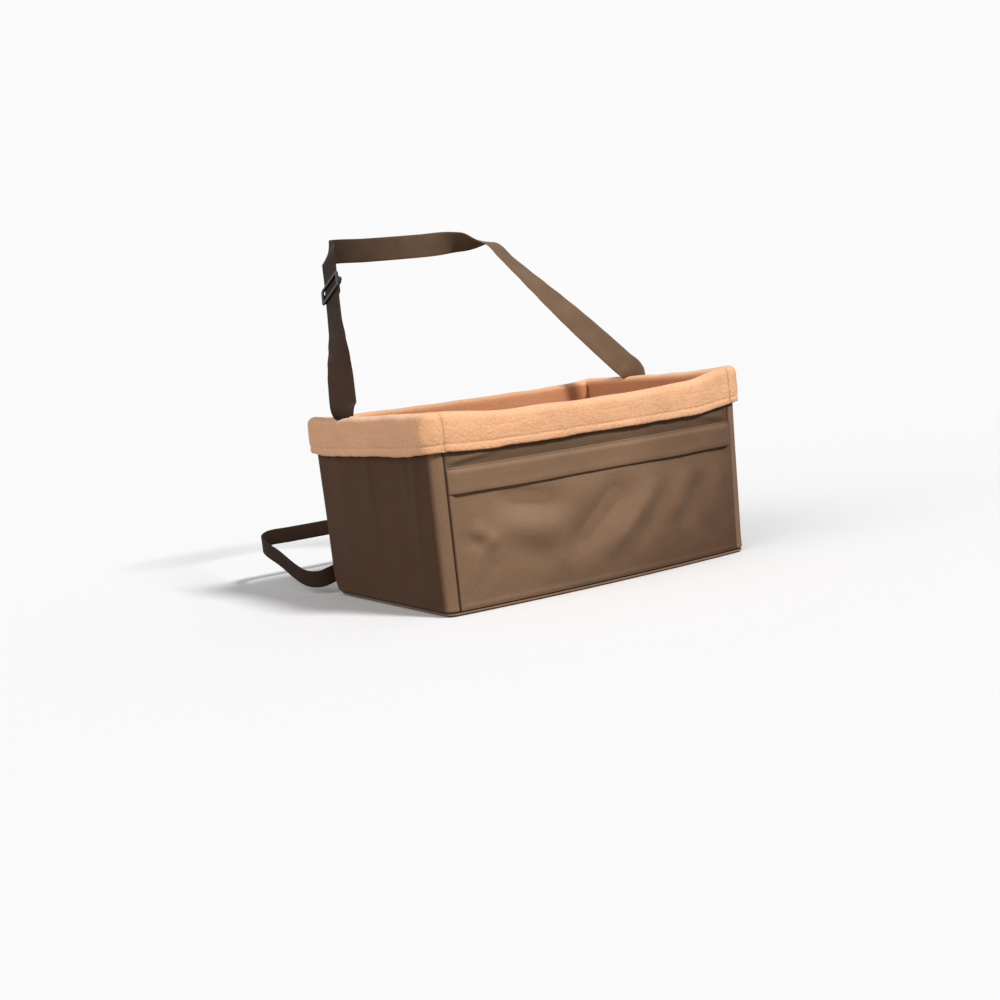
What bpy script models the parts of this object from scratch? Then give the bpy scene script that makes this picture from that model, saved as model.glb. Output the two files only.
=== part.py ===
"""Dog booster basket that hangs from a head restraint, with a rear strap round the seatback.

Metres. +X is to the viewer's right, +Y to the rear, +Z up. The origin is the middle of the
flat underside. The basket is modelled square, and hang() then gives every piece of it the
same lean, bow and sag, so neighbouring layers stay apart by the same clearance.
"""
import math

import bmesh
import bpy
from mathutils import Matrix, Vector

# Basket, outside the fabric
BASKET_LENGTH = 0.500
BASKET_DEPTH = 0.368
BASKET_HEIGHT = 0.255
CORNER_RADIUS = 0.012
FRONT_BASE_RADIUS = 0.004
REAR_BASE_RADIUS = 0.030
SIDE_DRAW_IN = 0.0025
FRONT_DRAW_IN = 0.012
FRONT_BOW = 0.014
RIM_SAG = 0.007
SAG_DEPTH = 0.057

# Walls, from the outside in
CLEARANCE = 0.0003
FABRIC = 0.002
WEBBING = 0.0015
BOARD = 0.004
BASE_BOARD = 0.004
BASE_PAD = 0.015
FLEECE = 0.004
SEAM_HEIGHT = 0.0075
FRONT_WRAP = 0.006
RIM_WIRE = 0.005
PAD_CROWN = 0.006

# Cuff
CUFF_DEPTH = 0.044
HOOK_TAPE = 0.0015
HOOK_PATCH_LENGTH = 0.050
HOOK_PATCH_HEIGHT = 0.020
HOOK_PATCH_BELOW_RIM = 0.026
SIDE_PATCH_SPOTS = (-0.075, 0.115)
FRONT_PATCH_SPOTS = (-0.150, 0.020, 0.170)
REAR_PATCH_SPOTS = (-0.130, 0.130)
RIM_RISE = 0.004
STRAP_SLIT_MARGIN = 0.0015

# Pocket, flap and zipper
POCKET_TOP_BELOW_SEAM = 0.026
POCKET_FABRIC = 0.0015
POCKET_BULGE = 0.012
POCKET_FOLD_SHARES = (
    ((0.485, 0.84), (0.293, 0.29), -0.16, 0.050),
    ((0.573, 0.60), (0.368, 0.24), 0.18, 0.045),
    ((0.608, 0.72), (0.480, 0.22), -0.13, 0.040),
    ((0.840, 0.80), (0.750, 0.32), 0.14, 0.055),
    ((0.092, 0.86), (0.295, 0.72), -0.16, 0.045),
    ((0.030, 0.36), (0.075, 0.46), 0.30, 0.030),
)
FLAP_SEAM_BELOW_RIM = 0.063
FLAP_DROP = 0.035
FLAP_FABRIC = 0.0015
FLAP_STANDOFF = 0.0062
FLAP_END_MARGIN = 0.003
ZIPPER_LINE_BELOW_SEAM = 0.0165
ZIPPER_END_MARGIN = 0.012
TAPE = 0.0005
TAPE_HALF_WIDTH = 0.009
TOOTH_PITCH = 0.008
TOOTH_REACH = 0.0010
TOOTH_SPINE = 0.0012
TOOTH_THICKNESS = 0.0010
SLIDER_LENGTH = 0.010
SLIDER_HALF_WIDTH = 0.0042
SLIDER_WALL = 0.0009
SLIDER_END_MARGIN = 0.020
PULL_LENGTH = 0.015
PULL_WIDTH = 0.0060
PULL_THICKNESS = 0.0010
PULL_PIN_RADIUS = 0.0004
PULL_PIN_HOLE_RADIUS = 0.0007
LUG_HEIGHT = 0.0021
LUG_LENGTH = 0.0024

# Head-restraint strap and its adjuster
STRAP_WIDTH = 0.038
STRAP_FOOT_Y = 0.057
STRAP_EXIT_RISE = 0.013
HEAD_GAP_X = 0.146
HEAD_GAP_Y = 0.272
HEAD_GAP_HEIGHT = 0.505
POST_BACK_Y = 0.336
POST_BACK_HEIGHT = 0.515
POST_HALF_SPACING = 0.085
STRAP_TWIST_END = 0.195
STRAP_TWIST_LEFT = math.radians(55.0)
STRAP_TWIST_RIGHT = math.radians(60.0)
STRAP_POINT_SPACING = 0.011
ADJUSTER_PLACE = 0.262
ADJUSTER_WIDTH = 0.050
ADJUSTER_LENGTH = 0.034
ADJUSTER_BAR = 0.006
ADJUSTER_CENTRE_BAR = 0.004
ADJUSTER_THICKNESS = 0.003
ADJUSTER_CORNER = 0.006
TAB_WEBBING = 0.0012
TAB_LENGTH = 0.028

# Rear strap and its buckle
REAR_WIDTH = 0.025
REAR_TAB_HEIGHT = 0.037
REAR_TAB_INNER = 0.190
REAR_SIDE_X = 0.275
REAR_SIDE_Y = 0.320
REAR_SIDE_HEIGHT = 0.050
REAR_BACK_Y = 0.426
REAR_BACK_HEIGHT = 0.072
REAR_POINT_SPACING = 0.014
BUCKLE_HEIGHT = 0.035
BUCKLE_THICKNESS = 0.011
BUCKLE_WALL = 0.002
SOCKET_LENGTH = 0.0345
SOCKET_CAVITY = 0.0235
PLUG_LENGTH = 0.033
PLUG_BODY = 0.017
LADDER_THICKNESS = 0.0025
LADDER_SLOT = 0.004
LADDER_END_BAR = 0.003
PRONG_LENGTH = 0.0225
PRONG_THICKNESS = 0.0050
PRONG_ROOT_RADIUS = 0.0020
PRONG_PLACE = 0.0098

# Tether anchor on the inside of the rear wall
TETHER_TAB_WIDTH = 0.020
TETHER_TAB_BELOW_RIM = 0.033
TETHER_TAB_DROP = 0.026
TETHER_PLACE = 0.0
RING_WIRE = 0.003
RING_HALF_WIDTH = 0.0135
RING_DROP = 0.020
TETHER_WEBBING = 0.0012

# Counts
STATIONS = 12
CORNER_STEPS = 4
ARC_STEPS = 5
CUT_OVERRUN = 0.01

HALF_LENGTH = BASKET_LENGTH / 2
HALF_DEPTH = BASKET_DEPTH / 2
SAG_START_HEIGHT = BASKET_HEIGHT - SAG_DEPTH
BOW_RADIUS = (HALF_LENGTH ** 2 + FRONT_BOW ** 2) / (2 * FRONT_BOW)
SEAM_X = HALF_LENGTH - CORNER_RADIUS - FRONT_WRAP
ZIPPER_LENGTH = 2 * (SEAM_X - ZIPPER_END_MARGIN)
SLIDER_PLACE = ZIPPER_LENGTH / 2 - SLIDER_END_MARGIN
LINING_INSET = FABRIC + WEBBING + 2 * CLEARANCE
LINER_INSET = LINING_INSET + BOARD + CLEARANCE
CUFF_STANDOFF = 2 * HOOK_TAPE + 3 * CLEARANCE
CUFF_HEM_HEIGHT = BASKET_HEIGHT - CUFF_DEPTH
HOOK_PATCH_CENTRE_HEIGHT = BASKET_HEIGHT - HOOK_PATCH_BELOW_RIM
FLAP_SEAM_HEIGHT = BASKET_HEIGHT - FLAP_SEAM_BELOW_RIM
FLAP_HEM_HEIGHT = FLAP_SEAM_HEIGHT - FLAP_DROP
ZIPPER_LINE = FLAP_SEAM_HEIGHT - ZIPPER_LINE_BELOW_SEAM
POCKET_TOP = FLAP_SEAM_HEIGHT - POCKET_TOP_BELOW_SEAM
STRAP_EXIT_HEIGHT = BASKET_HEIGHT + STRAP_EXIT_RISE
TETHER_TAB_TOP = BASKET_HEIGHT - TETHER_TAB_BELOW_RIM
TETHER_BAR_HEIGHT = TETHER_TAB_TOP - TETHER_TAB_DROP
BOARD_TOP = BASKET_HEIGHT - RIM_WIRE - 0.75 * RIM_WIRE
BASE_BOARD_UNDER = LINING_INSET
BASE_BOARD_TOP = BASE_BOARD_UNDER + BASE_BOARD
PAD_TOP = BASE_BOARD_TOP + CLEARANCE + BASE_PAD
LINER_FLOOR_UNDER = PAD_TOP + 2 * CLEARANCE
LINER_FLOOR_TOP = LINER_FLOOR_UNDER + FLEECE

COLOURS = {
    "fabric": ((0.200, 0.125, 0.078, 1.0), 0.85, 0.0),
    "fleece": ((0.850, 0.500, 0.290, 1.0), 0.95, 0.0),
    "webbing": ((0.120, 0.070, 0.046, 1.0), 0.70, 0.0),
    "foam": ((0.600, 0.600, 0.560, 1.0), 0.95, 0.0),
    "board": ((0.050, 0.050, 0.055, 1.0), 0.60, 0.0),
    "steel": ((0.600, 0.600, 0.620, 1.0), 0.30, 1.0),
    "black_plastic": ((0.012, 0.012, 0.013, 1.0), 0.25, 0.0),
    "zipper": ((0.060, 0.038, 0.026, 1.0), 0.45, 0.0),
    "hook_tape": ((0.080, 0.052, 0.036, 1.0), 0.90, 0.0),
}

for old in list(bpy.data.objects):
    bpy.data.objects.remove(old, do_unlink=True)

parts = bpy.data.collections.new("dog_car_seat")
cutters = bpy.data.collections.new("cutters")
bpy.context.scene.collection.children.link(parts)
bpy.context.scene.collection.children.link(cutters)


def finish_material(name, kind):
    """One Principled material for one piece."""
    colour, roughness, metallic = COLOURS[kind]
    material = bpy.data.materials.new(name + "_finish")
    material.use_nodes = True
    shader = material.node_tree.nodes["Principled BSDF"]
    shader.inputs["Base Color"].default_value = colour
    shader.inputs["Roughness"].default_value = roughness
    shader.inputs["Metallic"].default_value = metallic
    return material


def face_outwards(bm):
    """Make every face of a closed mesh point out."""
    bmesh.ops.recalc_face_normals(bm, faces=bm.faces)
    if bm.calc_volume(signed=True) < 0:
        bmesh.ops.reverse_faces(bm, faces=bm.faces)


def add_piece(name, bm, kind, smooth=True):
    """Turn a bmesh into a named part with its own material."""
    face_outwards(bm)
    mesh = bpy.data.meshes.new(name)
    bm.to_mesh(mesh)
    bm.free()
    if smooth:
        mesh.shade_smooth()
        mesh.set_sharp_from_angle(angle=math.radians(35.0))
    mesh.materials.append(finish_material(name, kind))
    piece = bpy.data.objects.new(name, mesh)
    parts.objects.link(piece)
    return piece


def add_cutter(name, bm):
    """A closed mesh that only cuts, and isn't part of the object."""
    face_outwards(bm)
    mesh = bpy.data.meshes.new(name)
    bm.to_mesh(mesh)
    bm.free()
    cutter = bpy.data.objects.new(name, mesh)
    cutters.objects.link(cutter)
    cutter.hide_render = True
    cutter.display_type = 'WIRE'
    return cutter


def boolean(piece, cutter, operation='DIFFERENCE'):
    """Leave a live Boolean on the piece."""
    modifier = piece.modifiers.new(operation.lower(), 'BOOLEAN')
    modifier.operation = operation
    modifier.object = cutter
    modifier.solver = 'EXACT'


def bevel(piece, width, segments=1):
    """Round the sharp edges of a piece."""
    modifier = piece.modifiers.new("edges", 'BEVEL')
    modifier.width = width
    modifier.segments = segments
    modifier.limit_method = 'ANGLE'
    modifier.angle_limit = math.radians(40.0)


def add_box(bm, low, high):
    """Add a box to a bmesh, given its lowest and highest corners."""
    size = Vector(high) - Vector(low)
    centre = (Vector(high) + Vector(low)) / 2
    matrix = Matrix.Translation(centre) @ Matrix.Diagonal((*size, 1.0))
    return bmesh.ops.create_cube(bm, size=1.0, matrix=matrix)


def box_mesh(low, high):
    """A bmesh that holds one box."""
    bm = bmesh.new()
    add_box(bm, low, high)
    return bm


def rod_mesh(start, end, radius, sides=16):
    """A bmesh that holds one capped cylinder between two points."""
    bm = bmesh.new()
    along = Vector(end) - Vector(start)
    turn = along.to_track_quat('Z', 'Y').to_matrix().to_4x4()
    matrix = Matrix.Translation((Vector(start) + Vector(end)) / 2) @ turn
    bmesh.ops.create_cone(bm, cap_ends=True, segments=sides, radius1=radius, radius2=radius,
                          depth=along.length, matrix=matrix)
    return bm


def front_weight(y):
    """How far a place follows the front wall: 1 at the wall, 0 in the rear half."""
    return min(1.0, max(0.0, -y / (HALF_DEPTH - 2 * LINER_INSET)))


def bow_at(x):
    """How far the front wall stands out at x, on one arc of a circle."""
    inside = min(abs(x), HALF_LENGTH)
    return math.sqrt(BOW_RADIUS ** 2 - inside ** 2) - (BOW_RADIUS - FRONT_BOW)


def hang(place):
    """Lean, bow and sag: where a point of the square basket really lies."""
    x, y, z = place
    down = 1.0 - min(1.0, max(0.0, z / BASKET_HEIGHT))
    up = min(1.0, max(0.0, (z - SAG_START_HEIGHT) / (BASKET_HEIGHT - SAG_START_HEIGHT)))
    weight = front_weight(y)
    lean = FRONT_DRAW_IN * down * min(0.0, y) / HALF_DEPTH
    middle = 1.0 - min(1.0, abs(x) / HALF_LENGTH) ** 2
    return Vector((
        x - SIDE_DRAW_IN * down * x / HALF_LENGTH,
        y - lean - bow_at(x) * weight,
        z - RIM_SAG * middle * up * weight,
    ))


def slice_at(bm, point, normal):
    """Add a cut line through the whole mesh, removing nothing."""
    geometry = bm.verts[:] + bm.edges[:] + bm.faces[:]
    bmesh.ops.bisect_plane(bm, geom=geometry, dist=CLEARANCE / 100, plane_co=point,
                           plane_no=normal)


def keep_side(bm, point, normal):
    """Cut the solid at a plane, keep what lies behind the normal and close the cut."""
    geometry = bm.verts[:] + bm.edges[:] + bm.faces[:]
    bmesh.ops.bisect_plane(bm, geom=geometry, dist=CLEARANCE / 100, plane_co=point,
                           plane_no=normal, clear_outer=True)
    open_edges = [edge for edge in bm.edges if edge.is_boundary]
    bmesh.ops.triangle_fill(bm, edges=open_edges, use_beauty=True)


def hang_piece(bm, sliced=True):
    """Cut a piece at the stations along the front, then hang every vertex."""
    step = BASKET_LENGTH / STATIONS
    for index in range(1, STATIONS if sliced else 1):
        slice_at(bm, (index * step - HALF_LENGTH, 0, 0), (1, 0, 0))
    if sliced:
        slice_at(bm, (0, 0, SAG_START_HEIGHT), (0, 0, 1))
    for vertex in bm.verts:
        vertex.co = hang(vertex.co)


def base_reach(radius, inset, height):
    """How much the base's rounding draws a wall in at a height."""
    if height >= radius or inset >= radius:
        return 0.0
    inner = radius - inset
    rise = radius - height
    return inner - math.sqrt(max(0.0, inner ** 2 - rise ** 2))


def outline(inset, height):
    """The basket's rounded outline, this far inside its outer face, at a height."""
    front_in = inset + base_reach(FRONT_BASE_RADIUS, inset, height)
    rear_in = inset + base_reach(REAR_BASE_RADIUS, inset, height)
    half_x = HALF_LENGTH - front_in
    low_y = -HALF_DEPTH + front_in
    high_y = HALF_DEPTH - rear_in
    radius = max(CORNER_RADIUS - inset, CORNER_RADIUS / 10)
    corners = ((half_x, high_y, 0), (-half_x, high_y, 1), (-half_x, low_y, 2), (half_x, low_y, 3))
    points = []
    for x, y, quarter in corners:
        centre_x = x - math.copysign(radius, x)
        centre_y = y - math.copysign(radius, y)
        for step in range(CORNER_STEPS + 1):
            angle = (quarter + step / CORNER_STEPS) * math.pi / 2
            points.append(Vector((centre_x + radius * math.cos(angle),
                                  centre_y + radius * math.sin(angle), height)))
    return points


def sweep_outline(profile, closed):
    """Loft outlines along (inset, height) pairs, closed on itself or capped at both ends."""
    bm = bmesh.new()
    rings = [[bm.verts.new(point) for point in outline(*pair)] for pair in profile]
    pairs = list(zip(rings, rings[1:]))
    if closed:
        pairs.append((rings[-1], rings[0]))
    for lower, upper in pairs:
        for index, vertex in enumerate(lower):
            after = (index + 1) % len(lower)
            bm.faces.new((vertex, lower[after], upper[after], upper[index]))
    if not closed:
        bm.faces.new(reversed(rings[0]))
        bm.faces.new(rings[-1])
    bmesh.ops.recalc_face_normals(bm, faces=bm.faces)
    return bm


def base_heights(inset):
    """Heights that follow both rounded base edges, at this inset."""
    heights = {inset}
    for radius in (FRONT_BASE_RADIUS, REAR_BASE_RADIUS):
        for step in range(1, ARC_STEPS + 1):
            height = radius - (radius - inset) * math.cos(step / ARC_STEPS * math.pi / 2)
            if inset < radius:
                heights.add(height)
    heights.add(SEAM_HEIGHT)
    return sorted(heights)


def offset_profile(points, distance):
    """Move an open line of (inset, height) pairs sideways by a distance."""
    moved = []
    for index, (inset, height) in enumerate(points):
        before = points[max(index - 1, 0)]
        after = points[min(index + 1, len(points) - 1)]
        along = Vector((after[0] - before[0], after[1] - before[1])).normalized()
        moved.append((inset - along.y * distance, height + along.x * distance))
    return moved


def fillet_path(points, radius, steps=3):
    """Round the corners of a path of points with arcs."""
    path = [Vector(points[0])]
    for before, corner, after in zip(points, points[1:], points[2:]):
        corner = Vector(corner)
        back = (Vector(before) - corner)
        ahead = (Vector(after) - corner)
        half_turn = back.angle(ahead) / 2
        if math.pi / 2 - half_turn < math.radians(1.0):
            path.append(corner)
            continue
        reach = radius / math.tan(half_turn)
        start = corner + back.normalized() * reach
        end = corner + ahead.normalized() * reach
        centre = corner + (back.normalized() + ahead.normalized()).normalized() * (
            radius / math.sin(half_turn))
        for step in range(steps + 1):
            share = step / steps
            arm = (start - centre).slerp(end - centre, share)
            path.append(centre + arm.normalized() * radius)
    path.append(Vector(points[-1]))
    return path


def smooth_path(keys, spacing):
    """Points about one spacing apart on a smooth curve through (place, across) keys."""
    places = [Vector(key[0]) for key in keys]
    acrosses = [Vector(key[1]) for key in keys]
    result = []
    for index in range(len(keys) - 1):
        before = places[max(index - 1, 0)]
        start, end = places[index], places[index + 1]
        after = places[min(index + 2, len(keys) - 1)]
        length = (end - start).length
        lead_in = (end - before).normalized() * length
        lead_out = (after - start).normalized() * length
        count = max(1, round(length / spacing))
        for step in range(count):
            t = step / count
            place = (start * (2 * t ** 3 - 3 * t ** 2 + 1) + lead_in * (t ** 3 - 2 * t ** 2 + t)
                     + end * (3 * t ** 2 - 2 * t ** 3) + lead_out * (t ** 3 - t ** 2))
            blend = t * t * (3 - 2 * t)
            result.append((place, acrosses[index].lerp(acrosses[index + 1], blend)))
    result.append((places[-1], acrosses[-1]))
    return result


def ribbon(name, path, width, thickness, kind="webbing", columns=2):
    """Webbing: an open strip along (place, across) pairs, given its thickness by Solidify."""
    bm = bmesh.new()
    rows = []
    for index, (place, across) in enumerate(path):
        before = path[max(index - 1, 0)][0]
        after = path[min(index + 1, len(path) - 1)][0]
        along = (after - before).normalized()
        side = (across - along * across.dot(along)).normalized()
        rows.append([bm.verts.new(place + side * width * (column / columns - 0.5))
                     for column in range(columns + 1)])
    for lower, upper in zip(rows, rows[1:]):
        for column in range(columns):
            bm.faces.new((lower[column], lower[column + 1], upper[column + 1], upper[column]))
    mesh = bpy.data.meshes.new(name)
    bm.to_mesh(mesh)
    bm.free()
    mesh.shade_smooth()
    mesh.materials.append(finish_material(name, kind))
    piece = bpy.data.objects.new(name, mesh)
    parts.objects.link(piece)
    solid = piece.modifiers.new("thickness", 'SOLIDIFY')
    solid.thickness = thickness
    solid.offset = 0.0
    solid.use_even_offset = True
    return piece


def flat_outline(name, points, thickness, holes=()):
    """A bmesh cut from a flat sheet: a filled 2D curve in the XY plane with its thickness."""
    curve = bpy.data.curves.new(name, 'CURVE')
    curve.dimensions = '2D'
    curve.fill_mode = 'BOTH'
    curve.extrude = thickness / 2
    for loop in (points, *holes):
        spline = curve.splines.new('POLY')
        spline.points.add(len(loop) - 1)
        for point, (x, y) in zip(spline.points, loop):
            point.co = (x, y, 0.0, 1.0)
        spline.use_cyclic_u = True
    holder = bpy.data.objects.new(name, curve)
    cutters.objects.link(holder)
    bpy.context.view_layer.update()
    bm = mesh_of(holder)
    bpy.data.objects.remove(holder, do_unlink=True)
    return bm


def mesh_of(holder):
    """A welded bmesh of a curve object, with its matrix applied."""
    graph = bpy.context.evaluated_depsgraph_get()
    mesh = bpy.data.meshes.new_from_object(holder.evaluated_get(graph))
    bm = bmesh.new()
    bm.from_mesh(mesh)
    bpy.data.meshes.remove(mesh)
    bmesh.ops.transform(bm, matrix=holder.matrix_world, verts=bm.verts)
    bmesh.ops.remove_doubles(bm, verts=bm.verts, dist=CLEARANCE / 100)
    return bm


def stand_up(bm, y):
    """Turn a sheet from the XY plane to the XZ plane, with its middle at y."""
    turn = Matrix.Translation((0, y, 0)) @ Matrix.Rotation(math.pi / 2, 4, 'X')
    bmesh.ops.transform(bm, matrix=turn, verts=bm.verts)


def rounded_rectangle(half_x, half_y, radius, steps=3):
    """Corner points of a rounded rectangle about the origin."""
    points = []
    for quarter, (sign_x, sign_y) in enumerate(((1, 1), (-1, 1), (-1, -1), (1, -1))):
        for step in range(steps + 1):
            angle = (quarter + step / steps) * math.pi / 2
            points.append((sign_x * (half_x - radius) + radius * math.cos(angle),
                           sign_y * (half_y - radius) + radius * math.sin(angle)))
    return points


def shell_profile():
    """Outside of the fabric shell from the base up, then down its inside to the floor."""
    outside = [(0.0, height) for height in base_heights(0.0)]
    inside = [(FABRIC, height) for height in reversed(base_heights(FABRIC))]
    return [*outside, (0.0, BASKET_HEIGHT), (FABRIC, BASKET_HEIGHT), *inside]


def make_shell_panels():
    """Five fabric panels, cut from one tub along the real seams."""
    half_seam = CLEARANCE / 2
    above = ((0, 0, SEAM_HEIGHT + half_seam), (0, 0, -1))
    below = ((0, 0, SEAM_HEIGHT - half_seam), (0, 0, 1))
    left_of = ((-SEAM_X - half_seam, 0, 0), (1, 0, 0))
    right_of = ((SEAM_X + half_seam, 0, 0), (-1, 0, 0))
    between = (((-SEAM_X + half_seam, 0, 0), (-1, 0, 0)), ((SEAM_X - half_seam, 0, 0), (1, 0, 0)))
    panels = {
        "bottom_panel": (below,),
        "left_panel": (above, left_of),
        "right_panel": (above, right_of),
        "front_panel": (above, *between, ((0, 0, 0), (0, 1, 0))),
        "rear_panel": (above, *between, ((0, 0, 0), (0, -1, 0))),
    }
    for name, cuts in panels.items():
        bm = sweep_outline(shell_profile(), closed=False)
        for point, normal in cuts:
            keep_side(bm, point, normal)
        hang_piece(bm)
        add_piece(name, bm, "fabric")


def make_boards():
    """Stiffener boards in the walls and the base board under the pad."""
    wall_foot = BASE_BOARD_TOP + CLEARANCE
    end_x = HALF_LENGTH - LINER_INSET - CORNER_RADIUS / 2
    near = HALF_DEPTH - LINING_INSET - BOARD
    far = HALF_DEPTH - LINING_INSET
    walls = {
        "front_board": ((-end_x, -far, wall_foot), (end_x, -near, BOARD_TOP)),
        "rear_board": ((-end_x, near, REAR_BASE_RADIUS), (end_x, far, BOARD_TOP)),
    }
    for name, (low, high) in walls.items():
        bm = box_mesh(low, high)
        hang_piece(bm)
        add_piece(name, bm, "board", smooth=False)
    base = sweep_outline([(LINING_INSET, BASE_BOARD_UNDER), (LINING_INSET, BASE_BOARD_TOP)],
                         closed=False)
    hang_piece(base)
    add_piece("base_board", base, "board", smooth=False)
    side_end = near - CORNER_RADIUS / 2
    rise = REAR_BASE_RADIUS
    rear_foot = side_end - (rise - wall_foot)
    side = [(-side_end, wall_foot), (rear_foot, wall_foot), (side_end, rise),
            (side_end, BOARD_TOP), (-side_end, BOARD_TOP)]
    for name, sign in (("left_board", -1), ("right_board", 1)):
        bm = flat_outline(name, side, BOARD)
        stand_up(bm, 0.0)
        turn = Matrix.Rotation(math.pi / 2, 4, 'Z')
        shift = Matrix.Translation((sign * (HALF_LENGTH - LINING_INSET - BOARD / 2), 0, 0))
        bmesh.ops.transform(bm, matrix=shift @ turn, verts=bm.verts)
        hang_piece(bm)
        add_piece(name, bm, "board", smooth=False)


def pad_crown(x, y):
    """Height of the pad's crown at a place."""
    across = 1.0 - min(1.0, abs(x) / HALF_LENGTH) ** 2
    along = 1.0 - min(1.0, abs(y) / HALF_DEPTH) ** 2
    return PAD_CROWN * across * along


def crowned_slab(name, kind, half_x, low_y, high_y, bottom, top, crowned_bottom):
    """A flat pad whose top rises in the middle."""
    bm = bmesh.new()
    columns, rows = 10, 6
    for height, crowned in ((bottom, crowned_bottom), (top, True)):
        for row in range(rows + 1):
            for column in range(columns + 1):
                x = half_x * (2 * column / columns - 1)
                y = low_y + (high_y - low_y) * row / rows
                rise = pad_crown(x, y) if crowned else 0.0
                bm.verts.new((x, y, height + rise))
    bm.verts.ensure_lookup_table()
    layer = (rows + 1) * (columns + 1)
    line = columns + 1
    for row in range(rows):
        for column in range(columns):
            first = row * line + column
            quad = (first, first + 1, first + line + 1, first + line)
            bm.faces.new([bm.verts[index + layer] for index in quad])
            bm.faces.new([bm.verts[index] for index in reversed(quad)])
    edge = [column for column in range(columns)]
    edge += [columns + row * line for row in range(rows)]
    edge += [rows * line + columns - column for column in range(columns)]
    edge += [(rows - row) * line for row in range(rows)]
    for start, end in zip(edge, edge[1:] + edge[:1]):
        bm.faces.new([bm.verts[index] for index in (start, end, end + layer, start + layer)])
    hang_piece(bm)
    return add_piece(name, bm, kind)


def make_base_padding():
    """Foam pad on the base board, and the liner's fleece floor over it."""
    half_x = HALF_LENGTH - LINER_INSET
    front_y = -HALF_DEPTH + LINER_INSET
    crowned_slab("base_pad", "foam", half_x, front_y, HALF_DEPTH - REAR_BASE_RADIUS,
                 BASE_BOARD_TOP + CLEARANCE, PAD_TOP, crowned_bottom=False)
    rear_y = HALF_DEPTH - LINER_INSET - base_reach(REAR_BASE_RADIUS, LINER_INSET, PAD_TOP)
    crowned_slab("liner_floor", "fleece", half_x, front_y, rear_y - CLEARANCE,
                 LINER_FLOOR_UNDER, LINER_FLOOR_TOP, crowned_bottom=True)


def make_rim_wire():
    """Steel wire in the shell's top hem."""
    centre_inset = FABRIC + CLEARANCE + RIM_WIRE / 2
    centre_height = BASKET_HEIGHT - RIM_WIRE
    sides = 8
    profile = []
    for step in range(sides):
        angle = 2 * math.pi * step / sides
        profile.append((centre_inset + RIM_WIRE / 2 * math.cos(angle),
                        centre_height + RIM_WIRE / 2 * math.sin(angle)))
    bm = sweep_outline(profile, closed=True)
    hang_piece(bm)
    add_piece("rim_wire", bm, "steel")


def liner_profile():
    """Middle line of the liner wall: up inside, over the rim, down outside as the cuff."""
    inside = LINER_INSET + FLEECE / 2
    outside = -CUFF_STANDOFF - FLEECE / 2
    foot = LINER_FLOOR_TOP + CLEARANCE + PAD_CROWN / 10
    roll_start = BASKET_HEIGHT - RIM_RISE
    centre = (inside + outside) / 2
    half_width = (inside - outside) / 2
    rise = 2 * RIM_RISE
    line = [(inside, foot)]
    steps = 6
    for step in range(steps + 1):
        angle = math.pi * step / steps
        line.append((centre + half_width * math.cos(angle), roll_start + rise * math.sin(angle)))
    line.append((outside, CUFF_HEM_HEIGHT))
    return line


def make_liner_walls():
    """Four fleece walls with their cuffs, meeting in seams down the corners."""
    middle = liner_profile()
    section = offset_profile(middle, FLEECE / 2)
    section += reversed(offset_profile(middle, -FLEECE / 2))
    half_seam = CLEARANCE / 2
    corner_x = HALF_LENGTH - CORNER_RADIUS
    corner_y = HALF_DEPTH - CORNER_RADIUS
    seams = {}
    for name, corner, cross in (
            ("front_left", (-corner_x, -corner_y, 0), (1, -1, 0)),
            ("front_right", (corner_x, -corner_y, 0), (-1, -1, 0)),
            ("rear_left", (-corner_x, corner_y, 0), (1, 1, 0)),
            ("rear_right", (corner_x, corner_y, 0), (-1, 1, 0))):
        seams[name] = (Vector(corner), Vector(cross).normalized())
    walls = {
        "liner_front": (("front_left", -1), ("front_right", -1), ((0, 0, 0), (0, 1, 0))),
        "liner_rear": (("rear_left", -1), ("rear_right", -1), ((0, 0, 0), (0, -1, 0))),
        "liner_left": (("front_left", 1), ("rear_left", 1), ((0, 0, 0), (1, 0, 0))),
        "liner_right": (("front_right", 1), ("rear_right", 1), ((0, 0, 0), (-1, 0, 0))),
    }
    for name, cuts in walls.items():
        bm = sweep_outline(section, closed=True)
        keep_side(bm, *cuts[2])
        for seam, sign in cuts[:2]:
            corner, cross = seams[seam]
            keep_side(bm, corner - cross * sign * half_seam, cross * sign)
        hang_piece(bm)
        piece = add_piece(name, bm, "fleece")
        if name in ("liner_left", "liner_right"):
            cut_strap_slit(piece, 1 if name == "liner_right" else -1)


def cut_strap_slit(piece, sign):
    """The slit in the cuff's fold that the head-restraint strap comes out of."""
    half = STRAP_WIDTH / 2 + STRAP_SLIT_MARGIN
    near = HALF_LENGTH - STRAP_SLIT_MARGIN
    far = HALF_LENGTH + WEBBING + 2 * CLEARANCE + STRAP_SLIT_MARGIN
    low = (min(sign * near, sign * far), STRAP_FOOT_Y - half, BASKET_HEIGHT - RIM_RISE)
    high = (max(sign * near, sign * far), STRAP_FOOT_Y + half, BASKET_HEIGHT + 4 * RIM_RISE)
    boolean(piece, add_cutter(piece.name + "_slit", box_mesh(low, high)))


def patch_spots():
    """Name, outward direction and place along its wall of every pair of patches."""
    spots = []
    for index, y in enumerate(SIDE_PATCH_SPOTS, start=1):
        spots.append((f"left_{index}", "x", -1, y))
        spots.append((f"right_{index}", "x", 1, y))
    for index, x in enumerate(FRONT_PATCH_SPOTS, start=1):
        spots.append((f"front_{index}", "y", -1, x))
    for index, x in enumerate(REAR_PATCH_SPOTS, start=1):
        spots.append((f"rear_{index}", "y", 1, x))
    return spots


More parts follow.
